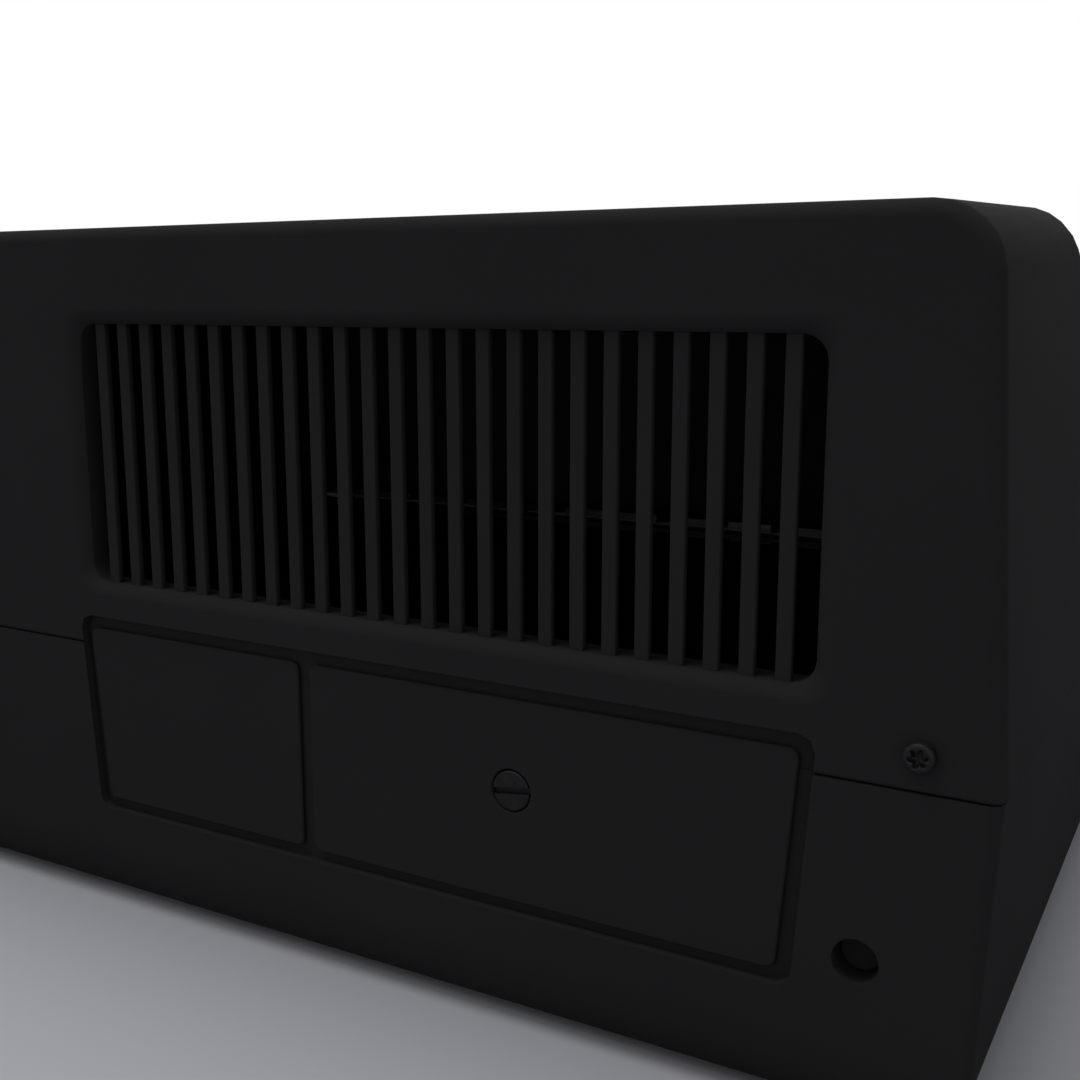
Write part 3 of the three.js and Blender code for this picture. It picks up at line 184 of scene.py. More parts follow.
def inMetres(look):
    # Lengths only: counts and angles are read from the look itself
    return {key: value * mm for key, value in look.items()}


def boxOf(places):
    return [Vector(pick(place[i] for place in places) for i in range(3)) for pick in (min, max)]


def quarterTurn(steps, first=0):
    return [math.pi / 2 * step / steps for step in range(first, steps + 1)]


def newPiece(name, mesh, finishes, body, replaced):
    # Clearing gives every face the first finish, so a mesh without materials keeps its numbers
    if len(mesh.materials):
        mesh.materials.clear()
    for finish in finishes:
        mesh.materials.append(finish)
    piece = addObject(name, mesh)
    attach(piece, body)
    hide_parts(*replaced)
    return piece


def roundEdges(piece, width, angle=32.0, segments=2):
    bevel = piece.modifiers.new("edges", "BEVEL")
    bevel.limit_method = "ANGLE"
    bevel.angle_limit = math.radians(angle)
    bevel.width = width
    bevel.segments = segments
    bevel.use_clamp_overlap = True
    bevel.miter_outer = "MITER_ARC"


def shadeEvenly(piece):
    shade = piece.modifiers.new("shading", "WEIGHTED_NORMAL")
    shade.keep_sharp = True
    shade.weight = 60


def softenEdges(piece, width, angle=32.0, segments=2):
    roundEdges(piece, width, angle, segments)
    shadeEvenly(piece)


def evaluated(holder):
    # The mesh that the holder's modifiers leave; the holder itself goes
    graph = bpy.context.evaluated_depsgraph_get()
    graph.update()
    result = bpy.data.meshes.new_from_object(holder.evaluated_get(graph))
    bpy.data.objects.remove(holder)
    return result


def roundedWork(work, width, angle=32.0, segments=2):
    # With the edges rounded for good, so that small parts can be added and keep their own
    holder = addObject("toRound", meshFromWork("toRound", work))
    roundEdges(holder, width, angle, segments)
    work = bmesh.new()
    work.from_mesh(evaluated(holder))
    bmesh.ops.remove_doubles(work, verts=work.verts, dist=fineWeld)
    return work


def mergedWork(node, joinFlats=True):
    # A merged copy of a solid's mesh, its triangles joined where they lie in one plane
    work = bmesh.new()
    work.from_mesh(nodes[node].data)
    bmesh.ops.remove_doubles(work, verts=work.verts, dist=weldDistance)
    bmesh.ops.dissolve_degenerate(work, edges=work.edges, dist=weldDistance)
    if joinFlats:
        bmesh.ops.dissolve_limit(
            work, angle_limit=flatAngle, verts=work.verts, edges=work.edges, use_dissolve_boundaries=False)
    for face in work.faces:
        face.smooth = True
        face.material_index = 0
    # Through a mesh and back, which numbers what is left
    mesh = meshFromWork(node, work)
    work = bmesh.new()
    work.from_mesh(mesh)
    bpy.data.meshes.remove(mesh)
    return work


def roundedCopy(node, name, body, finish, look):
    work = roundedWork(mergedWork(node), look["edge"] * mm, look["angle"], look["segments"])
    shadeEvenly(newPiece(name, meshFromWork(name, work), [finish], body, [node]))


def meshFromWork(name, work):
    mesh = bpy.data.meshes.new(name)
    work.to_mesh(mesh)
    work.free()
    return mesh


def addMesh(work, mesh, finishNumber):
    # Adds a mesh that was made on its own, all in one finish
    mesh.materials.clear()
    for face in mesh.polygons:
        face.material_index = finishNumber
    work.from_mesh(mesh)
    bpy.data.meshes.remove(mesh)


def loftRings(work, rings, closeFirst=True, closeLast=True):
    made = [[work.verts.new(p) for p in ring] for ring in rings]
    count = len(made[0])
    for lower, upper in zip(made, made[1:]):
        for i in range(count):
            j = (i + 1) % count
            work.faces.new((lower[i], lower[j], upper[j], upper[i]))
    if closeFirst:
        work.faces.new(list(reversed(made[0])))
    if closeLast:
        work.faces.new(made[-1])
    return made


def faceOutwards(work):
    bmesh.ops.remove_doubles(work, verts=work.verts, dist=fineWeld)
    bmesh.ops.recalc_face_normals(work, faces=work.faces)
    for face in work.faces:
        face.smooth = True


def circlePoints(radius, count, centre, right, up):
    return [
        centre + right * (radius * math.cos(a)) + up * (radius * math.sin(a))
        for a in (2 * math.pi * i / count for i in range(count))
    ]


# The two shells of the case

shellLook = {
    "edge": 0.30, "angle": 36.0, "segments": 2,
    "bevelWidth": 3.6, "bevelDepth": 2.4, "bevelSteps": 5, "shownBevelDepth": 2.0, "lowEdgeDrop": 0.45,
    "cornerSlack": 0.2, "sideInsetShare": 0.9, "seamWidth": 0.3, "seamLeft": 0.06,
}
# The vent's insert is built further down, but its border bounds the bevel's inner line too
ventInsertLook = {
    "border": 2.2, "hiddenEnd": 0.8, "anchor": 0.2, "slatCount": 25, "endGap": 4.87,
    "slatWidth": 3.14, "slatDepth": 1.65, "slatSetBack": 2.45, "edgeRound": 0.3,
}


def isNear(a, b, reach=0.00002):
    return abs(a - b) < reach


def roundVentBevel(work, look):
    # An arc in place of the vent's flat bevel, its inner line a little less deep and lower than in the solid
    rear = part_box("top_cover")[1].y
    low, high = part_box("vent_grille")
    size = inMetres(look)
    width, depth, shown = size["bevelWidth"], size["bevelDepth"], size["shownBevelDepth"]
    inset = ventInsertLook["border"] * mm
    sideInset = look["sideInsetShare"] * inset
    nearLine = 0.01
    radius = (width ** 2 + shown ** 2) / (2 * shown)
    wholeTurn = math.asin(width / radius)
    rungs = []
    for edge in work.edges:
        inner, outer = sorted((vertex.co.copy() for vertex in edge.verts), key=lambda place: place.y)
        reach = math.hypot(outer.x - inner.x, outer.z - inner.z)
        isAcross = isNear(outer.y, rear) and isNear(inner.y, rear - depth)
        if isAcross and isNear(reach, width * math.sqrt(2), size["cornerSlack"]):
            rungs.append((edge, outer, inner))
    bmesh.ops.subdivide_edges(
        work, edges=[rung[0] for rung in rungs], cuts=look["bevelSteps"] - 1, use_grid_fill=True)
    for vertex in work.verts:
        x, y, z = vertex.co
        share = (rear - y) / depth
        isInside = low.x + sideInset < x < high.x - sideInset and low.z + inset < z < high.z - inset
        across = 0.0
        if nearLine < share < 1 - nearLine:
            away, outer, inner = min(
                ((outer.lerp(inner, share) - vertex.co).length, outer, inner) for edge, outer, inner in rungs)
            if away < weldDistance:
                turn = wholeTurn * share
                across = radius * math.sin(turn) / width
                vertex.co = outer.lerp(inner, across)
                vertex.co.y = rear - radius * (1 - math.cos(turn))
        elif share > 1 - nearLine and y > high.y and isInside:
            across = 1.0
            if share < 1 + nearLine:
                vertex.co.y = rear - shown
        if z < (low.z + high.z) / 2:
            vertex.co.z -= size["lowEdgeDrop"] * across
    print("vent bevel rounded at", len(rungs), "places")


def raiseTrayRim(work, look):
    # The tray's rim comes up to the cover until only a fine seam is left
    size = inMetres(look)
    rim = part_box("top_cover")[0].z - size["seamWidth"]
    for vertex in work.verts:
        if isNear(vertex.co.z, rim):
            vertex.co.z += size["seamWidth"] - size["seamLeft"]


def buildShell(node, change, look):
    work = mergedWork(node)
    change(work, look)
    piece = newPiece(node + "_shell", meshFromWork(node, work), [casePlastic], "case", [node])
    softenEdges(piece, look["edge"] * mm, look["angle"], look["segments"])


buildShell("top_cover", roundVentBevel, shellLook)
buildShell("bottom_tray", raiseTrayRim, shellLook)
print("case shells made")


# The two blank covers in the recess

slotCoverLook = {"edge": 0.55, "angle": 32.0, "segments": 3}
for coverNode in ("small_slot_cover", "large_slot_cover"):
    roundedCopy(coverNode, coverNode + "_plate", coverNode, casePlastic, slotCoverLook)
print("slot covers made")


# Vent insert: a border behind the rim, and upright slats close behind the bevel, even gaps at both ends

def newTree(name, inputs):
    tree = bpy.data.node_groups.new(name, "GeometryNodeTree")
    tree.interface.new_socket("Geometry", in_out="INPUT", socket_type="NodeSocketGeometry")
    for label, kind in inputs:
        tree.interface.new_socket(label, in_out="INPUT", socket_type=kind)
    tree.interface.new_socket("Geometry", in_out="OUTPUT", socket_type="NodeSocketGeometry")
    return tree, tree.nodes.new("NodeGroupInput"), tree.nodes.new("NodeGroupOutput")


def runTree(tree, mesh, values):
    holder = addObject(tree.name, mesh)
    modifier = holder.modifiers.new(tree.name, "NODES")
    modifier.node_group = tree
    for socket in tree.interface.items_tree:
        if socket.in_out == "INPUT" and socket.name in values:
            modifier[socket.identifier] = values[socket.name]
    return evaluated(holder)


def endTree(tree, given, made, last, output):
    # Every tree ends in real geometry with its finish
    real = addNode(tree, "GeometryNodeRealizeInstances")
    finish = addNode(tree, "GeometryNodeSetMaterial")
    wire(tree, (last, output, real, "Geometry"), (real, "Geometry", finish, "Geometry"),
         (given, "Finish", finish, "Material"), (finish, "Geometry", made, "Geometry"))
    return tree


def barRowTree():
    # A row of alike bars: vent slats, ribs under a foot strip, contacts in a socket
    tree, given, made = newTree("row of bars", [
        ("Bar Count", "NodeSocketInt"), ("First Bar", "NodeSocketVector"), ("Step", "NodeSocketVector"),
        ("Bar Width", "NodeSocketFloat"), ("Bar Thickness", "NodeSocketFloat"), ("Foot", "NodeSocketVector"),
        ("Head", "NodeSocketVector"), ("Edge Round", "NodeSocketFloat"), ("Finish", "NodeSocketMaterial"),
    ])
    profile = addNode(tree, "GeometryNodeCurvePrimitiveQuadrilateral")
    rounded = addNode(tree, "GeometryNodeFilletCurve", {"Count": 3}, mode="POLY")
    spine = addNode(tree, "GeometryNodeCurvePrimitiveLine")
    bar = addNode(tree, "GeometryNodeCurveToMesh", {"Fill Caps": True})
    places = addNode(tree, "GeometryNodeMeshLine")
    spread = addNode(tree, "GeometryNodeInstanceOnPoints")
    joined = addNode(tree, "GeometryNodeJoinGeometry")
    wire(
        tree, (given, "Bar Width", profile, "Width"), (given, "Bar Thickness", profile, "Height"),
        (profile, "Curve", rounded, "Curve"), (given, "Edge Round", rounded, "Radius"),
        (given, "Foot", spine, "Start"), (given, "Head", spine, "End"),
        (spine, "Curve", bar, "Curve"), (rounded, "Curve", bar, "Profile Curve"),
        (given, "Bar Count", places, "Count"), (given, "First Bar", places, "Start Location"),
        (given, "Step", places, "Offset"),
        (places, "Mesh", spread, "Points"), (bar, "Mesh", spread, "Instance"),
        (spread, "Instances", joined, "Geometry"), (given, "Geometry", joined, "Geometry"))
    return endTree(tree, given, made, joined, "Geometry")


def boxInto(work, low, high):
    corners = bmesh.ops.create_cube(work, size=1.0)["verts"]
    middle = (Vector(low) + Vector(high)) / 2
    size = Vector(high) - Vector(low)
    for corner in corners:
        corner.co = Vector(corner.co[i] * size[i] + middle[i] for i in range(3))


def frameInto(work, low, high, border):
    # A rectangular frame, open along Y
    outer = [(low.x, low.z), (high.x, low.z), (high.x, high.z), (low.x, high.z)]
    inner = [
        (x + (border if x == low.x else -border), z + (border if z == low.z else -border)) for x, z in outer]
    rings = [
        [work.verts.new((x, y, z)) for x, z in ring]
        for ring, y in ((outer, low.y), (outer, high.y), (inner, high.y), (inner, low.y))]
    for ring, following in zip(rings, rings[1:] + rings[:1]):
        for i in range(4):
            j = (i + 1) % 4
            work.faces.new((ring[i], ring[j], following[j], following[i]))


def buildVentInsert(look):
    low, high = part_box("vent_grille")
    size = inMetres(look)
    count = look["slatCount"]
    work = bmesh.new()
    frameInto(work, low, high, size["border"])
    bmesh.ops.recalc_face_normals(work, faces=work.faces)
    first = high.x - size["border"] - size["endGap"] - size["slatWidth"] / 2
    last = low.x + size["border"] + size["endGap"] + size["slatWidth"] / 2
    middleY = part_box("top_cover")[1].y - size["slatSetBack"] - size["slatDepth"] / 2
    hidden = size["border"] + size["hiddenEnd"] - size["anchor"]
    mesh = runTree(barRowTree(), meshFromWork("ventBorder", work), {
        "Bar Count": count,
        "First Bar": (first, middleY, 0.0),
        "Step": ((last - first) / (count - 1), 0.0, 0.0),
        "Bar Width": size["slatWidth"],
        "Bar Thickness": size["slatDepth"],
        "Foot": (0.0, 0.0, low.z + hidden - shellLook["lowEdgeDrop"] * mm),
        "Head": (0.0, 0.0, high.z - hidden),
        "Edge Round": size["edgeRound"],
        "Finish": casePlastic,
    })
    newPiece("vent_slat_insert", mesh, [casePlastic], "case", ["vent_grille"])


buildVentInsert(ventInsertLook)
print("vent slats made")


# Pan-head screws with a six-lobe recess

screwLook = {
    "headRadius": 2.8, "headHeight": 2.4, "rimRound": 0.75, "rimSteps": 5, "edgeRound": 0.12,
    "shankRadius": 1.5, "shankLength": 10.0, "tipShare": 0.8, "tipLength": 0.4,
    "lobeCount": 6, "lobeOuter": 1.85, "lobeInner": 1.12, "lobeFullness": 0.7, "lobeTaper": 0.04,
    "lobeDepth": 1.4, "floorRadius": 0.4, "floorDepth": 0.25,
    "points": 72, "turn": 12.0,
}


def screwMesh(look):
    head, top, rim, edge = (look[key] for key in ("headRadius", "headHeight", "rimRound", "edgeRound"))

    def ring(radiusAt, height):
        made = []
        for i in range(look["points"]):
            angle = 2 * math.pi * i / look["points"]
            radius = radiusAt(angle) * mm
            made.append(Vector((radius * math.cos(angle), height * mm, radius * math.sin(angle))))
        return made

    def lobes(grow):
        def radiusAt(angle):
            wave = (1 + math.cos(look["lobeCount"] * angle)) / 2
            reach = look["lobeOuter"] - look["lobeInner"]
            return grow + look["lobeInner"] + reach * wave ** look["lobeFullness"]
        return radiusAt

    def flat(radius):
        return lambda angle: radius

    rings = [
        ring(flat(look["shankRadius"] * look["tipShare"]), -look["shankLength"]),
        ring(flat(look["shankRadius"]), -look["shankLength"] + look["tipLength"]),
        ring(flat(look["shankRadius"]), 0.0),
        ring(flat(head - edge), 0.0),
        ring(flat(head), edge),
    ]
    for angle in quarterTurn(look["rimSteps"]):
        rings.append(ring(flat(head - rim + rim * math.cos(angle)), top - rim + rim * math.sin(angle)))
    rings += [
        ring(lobes(edge), top),
        ring(lobes(0.0), top - edge),
        ring(lobes(-look["lobeTaper"]), top - look["lobeDepth"]),
        ring(flat(look["floorRadius"]), top - look["lobeDepth"] - look["floorDepth"]),
    ]
    work = bmesh.new()
    loftRings(work, rings)
    faceOutwards(work)
    return meshFromWork("screw", work)


def screwTree():
    tree, given, made = newTree("screws on two points", [
        ("Screw", "NodeSocketObject"), ("Near Place", "NodeSocketVector"), ("Far Place", "NodeSocketVector"),
        ("Turn", "NodeSocketRotation"), ("Finish", "NodeSocketMaterial"),
    ])
    one = addNode(tree, "GeometryNodeObjectInfo", transform_space="ORIGINAL")
    places = addNode(tree, "GeometryNodeMeshLine", {"Count": 2}, mode="END_POINTS")
    spread = addNode(tree, "GeometryNodeInstanceOnPoints")
    wire(
        tree, (given, "Screw", one, "Object"), (given, "Near Place", places, "Start Location"),
        (given, "Far Place", places, "Offset"), (places, "Mesh", spread, "Points"),
        (one, "Geometry", spread, "Instance"), (given, "Turn", spread, "Rotation"))
    return endTree(tree, given, made, spread, "Instances")


def buildCaseScrews(look):
    places = []
    for node in ("near_case_screw", "far_case_screw"):
        low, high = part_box(node)
        middle = (low + high) / 2
        places.append(Vector((middle.x, high.y - look["headHeight"] * mm, middle.z)))
    screw = addObject("oneScrew", screwMesh(look))
    mesh = runTree(screwTree(), bpy.data.meshes.new("screwPlaces"), {
        "Screw": screw,
        "Near Place": places[0],
        "Far Place": places[1],
        "Turn": (0.0, math.radians(look["turn"]), 0.0),
        "Finish": darkSteel,
    })
    bpy.data.objects.remove(screw)
    newPiece("case_screws", mesh, [darkSteel], "case", ["near_case_screw", "far_case_screw"])


buildCaseScrews(screwLook)
print("case screws made")


# Turned pieces: the coin-slot fastener and the reset button

def lathe(profile, centre, right, up, axis, count, closed=False, finishOf=None):
    # Turns (radius, height) pairs round an axis; finishOf gives each band's material number
    work = bmesh.new()
    rings = [circlePoints(radius, count, centre + axis * height, right, up) for radius, height in profile]
    if closed:
        rings.append(rings[0])
    loftRings(work, rings, not closed, not closed)
    if finishOf:
        for number, face in enumerate(work.faces):
            face.material_index = finishOf[min(number // count, len(finishOf) - 1)]
    faceOutwards(work)
    return work


def latheAlongY(profile, node, count, closed=False):
    # Round the middle of the node's box
    low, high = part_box(node)
    centre = Vector(((low.x + high.x) / 2, 0.0, (low.z + high.z) / 2))
    return lathe(profile, centre, Vector((1, 0, 0)), Vector((0, 0, 1)), Vector((0, 1, 0)), count, closed)


fastenerLook = {
    "headRadius": 4.35, "headHeight": 1.8, "rimChamfer": 0.22, "shankRadius": 2.5, "tipChamfer": 0.3,
    "coinSlotWidth": 1.4, "coinSlotDepth": 1.2, "coinSlotTilt": 8.0, "overrun": 2.0,
    "edge": 0.10, "edgeAngle": 40.0, "sides": 64,
}


def cutWith(mesh, cutter):
    holder = addObject("toCut", mesh)
    tool = addObject("cutter", cutter)
    cutting = holder.modifiers.new("cut", "BOOLEAN")
    cutting.operation = "DIFFERENCE"
    cutting.solver = "EXACT"
    cutting.object = tool
    result = evaluated(holder)
    bpy.data.objects.remove(tool)
    return result


def buildFastener(look):
    low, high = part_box("slot_cover_fastener")
    x, z, front = (low.x + high.x) / 2, (low.z + high.z) / 2, high.y
    size = inMetres(look)
    radius, chamfer = size["headRadius"], size["rimChamfer"]
    shank, tip = size["shankRadius"], size["tipChamfer"]
    step = front - size["headHeight"]
    turned = latheAlongY([
        (shank - tip, low.y), (shank, low.y + tip), (shank, step),
        (radius, step), (radius, front - chamfer), (radius - chamfer, front),
    ], "slot_cover_fastener", look["sides"])
    blade = bmesh.new()
    reach, depth, half = radius + size["overrun"], size["coinSlotDepth"], size["coinSlotWidth"] / 2
    boxInto(blade, (-reach, -depth, -half), (reach, depth, half))
    tilt = Matrix.Rotation(math.radians(look["coinSlotTilt"]), 4, "Y")
    bmesh.ops.transform(blade, matrix=Matrix.Translation((x, front, z)) @ tilt, verts=blade.verts)
    mesh = cutWith(meshFromWork("fastener", turned), meshFromWork("blade", blade))
    for face in mesh.polygons:
        face.use_smooth = True
    piece = newPiece("coin_slot_fastener", mesh, [darkSteel],
                     "slot_cover_fastener", ["slot_cover_fastener"])
    softenEdges(piece, size["edge"], look["edgeAngle"])


buildFastener(fastenerLook)


resetLook = {
    "radius": 4.1, "stopRadius": 6.0, "stopThickness": 1.5, "travel": 1.5, "rimRound": 0.5, "rimSteps": 4,
    "dish": 0.35, "dishShares": (0.75, 0.5, 0.25, 0.08), "edge": 0.15, "edgeAngle": 50.0, "sides": 56,
}


def buildResetButton(look):
    low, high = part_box("reset_button")
    radius, rim, stop, thick, dish = (
        look[key] * mm for key in ("radius", "rimRound", "stopRadius", "stopThickness", "dish"))
    stopRear = low.y + look["travel"] * mm + thick
    profile = [(radius, low.y), (radius, stopRear - thick), (stop, stopRear - thick),
               (stop, stopRear), (radius, stopRear)]
    for angle in quarterTurn(look["rimSteps"]):
        profile.append((radius - rim + rim * math.cos(angle), high.y - rim + rim * math.sin(angle)))
    for share in look["dishShares"]:
        profile.append(((radius - rim) * share, high.y - dish * (1 - share ** 2)))
    work = latheAlongY(profile, "reset_button", look["sides"])
    piece = newPiece("reset_plunger", meshFromWork("reset", work), [casePlastic],
                     "reset_button", ["reset_button"])
    softenEdges(piece, look["edge"] * mm, look["edgeAngle"])


buildResetButton(resetLook)
print("fastener and reset button made")


# Sockets in the rear face

videoSocketLook = {
    "edge": 0.20, "ringOuter": 6.35, "ringInner": 6.05, "ringProud": 0.15, "ringDepth": 1.2, "sides": 48,
}
powerInletLook = {
    "edge": 0.20, "boreDepth": 9.0, "tipBack": 2.4, "pinRadius": 1.0, "pinSeat": 0.1,
    "tipRound": 0.35, "tipShare": 0.3, "tipRise": 0.05, "sides": 48,
}


def dressSocket(node, name, extra, look):
    # The solid itself with one bright turned part added
    work = mergedWork(node)
    addMesh(work, meshFromWork("extra", extra), 1)
    piece = newPiece(
        name, meshFromWork(name, work), [socketPlastic, nickel], "case", [node])
    softenEdges(piece, look["edge"] * mm)


def buildVideoSocket(look):
    size = inMetres(look)
    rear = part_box("video_socket")[1].y
    back, front = rear - size["ringDepth"], rear + size["ringProud"]
    inner, outer = size["ringInner"], size["ringOuter"]
    ring = latheAlongY([(inner, back), (outer, back), (outer, front), (inner, front)],
                       "video_socket", look["sides"], closed=True)
    dressSocket("video_socket", "video_socket_body", ring, look)


def buildPowerInlet(look):
    size = inMetres(look)
    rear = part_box("power_inlet")[1].y
    radius, tipRound, share = size["pinRadius"], size["tipRound"], look["tipShare"]
    tip = rear - size["tipBack"]
    pin = latheAlongY([
        (radius + size["pinSeat"], rear - size["boreDepth"]), (radius + size["pinSeat"], tip - tipRound),
        (radius - tipRound * share, tip - tipRound * share), (radius - tipRound, tip),
        (radius * share, tip + size["tipRise"]),
    ], "power_inlet", look["sides"])
    dressSocket("power_inlet", "power_inlet_body", pin, look)


buildVideoSocket(videoSocketLook)
buildPowerInlet(powerInletLook)
print("sockets made")


# Keys: hollow caps with a dished top, a stem and a printed legend

keyLook = {
    "capHeight": 8.6, "gap": 0.85, "sideDraft": 2.5, "frontDraft": 3.2, "rearDraft": 1.4,
    "skirtCorner": 1.4, "topCorner": 2.6, "leastCorner": 0.4, "lipRound": 0.2, "edgeRound": 0.8, "wall": 1.4,
    "dish": 0.55, "crown": 0.45, "stemWidth": 4.6, "stemSink": 0.2, "spaceStemInset": 12.4,
    "nubLength": 3.2, "nubWidth": 0.6, "nubHeight": 0.35, "nubSink": 0.4, "nubPlace": 2.2,
    "legendSize": 5.2, "wordSize": 2.9,
}
keySteps = {
    "corner": 5, "edge": 4, "insetShare": 0.6,
    "sideShares": (0.3, 0.6, 0.85), "topShares": (0.86, 0.70, 0.54, 0.38, 0.22, 0.08),
}
legends = {
    "key_return": "RETURN", "key_shift": "SHIFT", "key_comma": ",", "key_period": ".", "space_bar": "",
}
homeKeys = ("key_f", "key_j")
pressAxis = next(Vector(j["axis"]) for j in frame["joints"] if j["name"] == "key_1_press")
deckUp = -pressAxis.normalized()
deckRight = Vector((1.0, 0.0, 0.0))
deckAway = deckUp.cross(deckRight)
deckTurn = Matrix((deckRight, deckAway, deckUp)).transposed()


def deckBox(node):
    # Low and high corner in the deck's own directions: right, away from the user, and up
    return boxOf([deckTurn.transposed() @ vertex.co for vertex in nodes[node].data.vertices])


def roundedRing(low, high, radius, height, steps):
    ring = []
    corners = ((high[0] - radius, low[1] + radius, -90), (high[0] - radius, high[1] - radius, 0),
               (low[0] + radius, high[1] - radius, 90), (low[0] + radius, low[1] + radius, 180))
    for x, y, start in corners:
        for i in range(steps + 1):
            angle = math.radians(start + 90 * i / steps)
            ring.append(Vector((x + radius * math.cos(angle), y + radius * math.sin(angle), height)))
    return ring


def capWork(name, look):
    low, high = deckBox(name)
    size = inMetres(look)
    wall, lip, rounding, dish = size["wall"], size["lipRound"], size["edgeRound"], size["dish"]
    side, front, rear = size["sideDraft"], size["frontDraft"], size["rearDraft"]
    bottom = high.z - size["capHeight"]
    middle = (low + high) / 2
    isBar = name == "space_bar"

    def outline(share, inset, height):
        growth = (size["topCorner"] - size["skirtCorner"]) * share
        radius = size["skirtCorner"] + growth - inset * keySteps["insetShare"]
        return roundedRing(
            (low.x + inset + side * share, low.y + inset + front * share),
            (high.x - inset - side * share, high.y - inset - rear * share),
            max(radius, size["leastCorner"]), height, keySteps["corner"])

    topLow = Vector((low.x + side + rounding, low.y + front + rounding))
    topHigh = Vector((high.x - side - rounding, high.y - rear - rounding))
    topMiddle = (topLow + topHigh) / 2
    topHalf = (topHigh - topLow) / 2

    def surface(x, y):
        # The bar's top is arched, the other caps are dished across
        if isBar:
            return high.z - size["crown"] * ((y - topMiddle.y) / topHalf.y) ** 2
        across = (x - topMiddle.x) / topHalf.x
        return high.z - dish * (1 - min(across ** 2, 1.0))

    ceiling = high.z - wall - dish
    rings = [
        outline(1.0 - wall / size["capHeight"], wall, ceiling),
        outline(0.0, wall, bottom + lip),
        outline(0.0, wall - lip, bottom),
        outline(0.0, lip, bottom),
        outline(0.0, 0.0, bottom + lip),
    ]
    for share in keySteps["sideShares"]:
        rings.append(outline(share, 0.0, bottom + (size["capHeight"] - rounding) * share))
    for angle in quarterTurn(keySteps["edge"]):
        ring = outline(1.0, rounding * (1 - math.cos(angle)), 0.0)
        for p in ring:
            p.z = surface(p.x, p.y) - rounding * (1 - math.sin(angle))
        rings.append(ring)
    last = rings[-1]
    for share in keySteps["topShares"]:
        ring = []
        for p in last:
            x = topMiddle.x + (p.x - topMiddle.x) * share
            y = topMiddle.y + (p.y - topMiddle.y) * share
            ring.append(Vector((x, y, surface(x, y))))
        rings.append(ring)
    work = bmesh.new()
    loftRings(work, rings)
    half = size["stemWidth"] / 2
    reach = (high.x - low.x + size["gap"]) / 2 - size["spaceStemInset"]
    for offset in ((-reach, 0.0, reach) if isBar else (0.0,)):
        x, y = middle.x + offset, middle.y
        boxInto(work, (x - half, y - half, low.z), (x + half, y + half, ceiling + size["stemSink"]))
    bmesh.ops.recalc_face_normals(work, faces=work.faces)
    if name in homeKeys:
        x, y = topMiddle.x, topLow.y + size["nubPlace"]
        z = surface(x, y)
        long, wide = size["nubLength"] / 2, size["nubWidth"] / 2
        boxInto(work, (x - long, y - wide, z - size["nubSink"]), (x + long, y + wide, z + size["nubHeight"]))
    for face in work.faces:
        face.smooth = True
    return work, surface, topMiddle


legendLook = {"proud": 0.03, "sink": 0.2, "extrusion": 0.1, "curveSteps": 4}


def printLegend(work, text, size, placeOf):
    # placeOf takes a legend's own x, y and how far it stands proud, and gives the place on the piece
    curve = bpy.data.curves.new("legend", "FONT")
    curve.body = text
    curve.size = size
    curve.align_x = "CENTER"
    curve.align_y = "CENTER"
    curve.resolution_u = legendLook["curveSteps"]
    curve.extrude = legendLook["extrusion"] * mm
    printed = evaluated(addObject("legend", curve))
    bpy.data.curves.remove(curve)
    for vertex in printed.vertices:
        x, y, z = vertex.co
        vertex.co = placeOf(x, y, (legendLook["proud"] if z > 0 else -legendLook["sink"]) * mm)
    addMesh(work, printed, 1)


def buildKey(name, look):
    work, surface, topMiddle = capWork(name, look)
    text = legends.get(name, name[-1].upper())
    if text:
        def placeOf(x, y, proud):
            x += topMiddle.x
            y += topMiddle.y
            return (x, y, surface(x, y) + proud)

        size = look["wordSize"] if len(text) > 1 else look["legendSize"]
        printLegend(work, text, size * mm, placeOf)
    bmesh.ops.transform(work, matrix=deckTurn.to_4x4(), verts=work.verts)
    newPiece(name + "_cap", meshFromWork(name, work), [keyPlastic, legendPaint], name, [name])


keyNames = sorted(name for name in nodes if name == "space_bar" or name.startswith("key_"))
for keyName in keyNames:
    buildKey(keyName, keyLook)
print("keys made:", len(keyNames))


# Power rocker, with the marks of its two positions

rockerLook = {"edge": 0.45, "angle": 20.0, "segments": 3, "markSize": 4.4, "markPlace": 5.6, "rayStart": 5.0}


def buildRocker(look):
    low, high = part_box("power_rocker")
    middle = (low + high) / 2
    work = roundedWork(mergedWork("power_rocker"), look["edge"] * mm, look["angle"], look["segments"])
    for face in work.faces:
        face.smooth = True
    faces = BVHTree.FromBMesh(work)
    outside = high.y + look["rayStart"] * mm
    for text, side in (("I", 1), ("O", -1)):
        def placeOf(x, y, proud):
            place = Vector((middle.x - x, outside, middle.z + side * look["markPlace"] * mm + y))
            hit = faces.ray_cast(place, Vector((0, -1, 0)))[0]
            return (place.x, (hit.y if hit else high.y) + proud, place.z)

        printLegend(work, text, look["markSize"] * mm, placeOf)
    shadeEvenly(newPiece("power_rocker_lever", meshFromWork("rocker", work), [keyPlastic, legendPaint],
                         "power_rocker", ["power_rocker"]))


buildRocker(rockerLook)
print("rocker made")


# Painted steel plate with the key switches' housings

switchPlateLook = {"thickness": 1.5, "edge": 0.15, "levelStep": 0.05, "facingUp": 0.99}


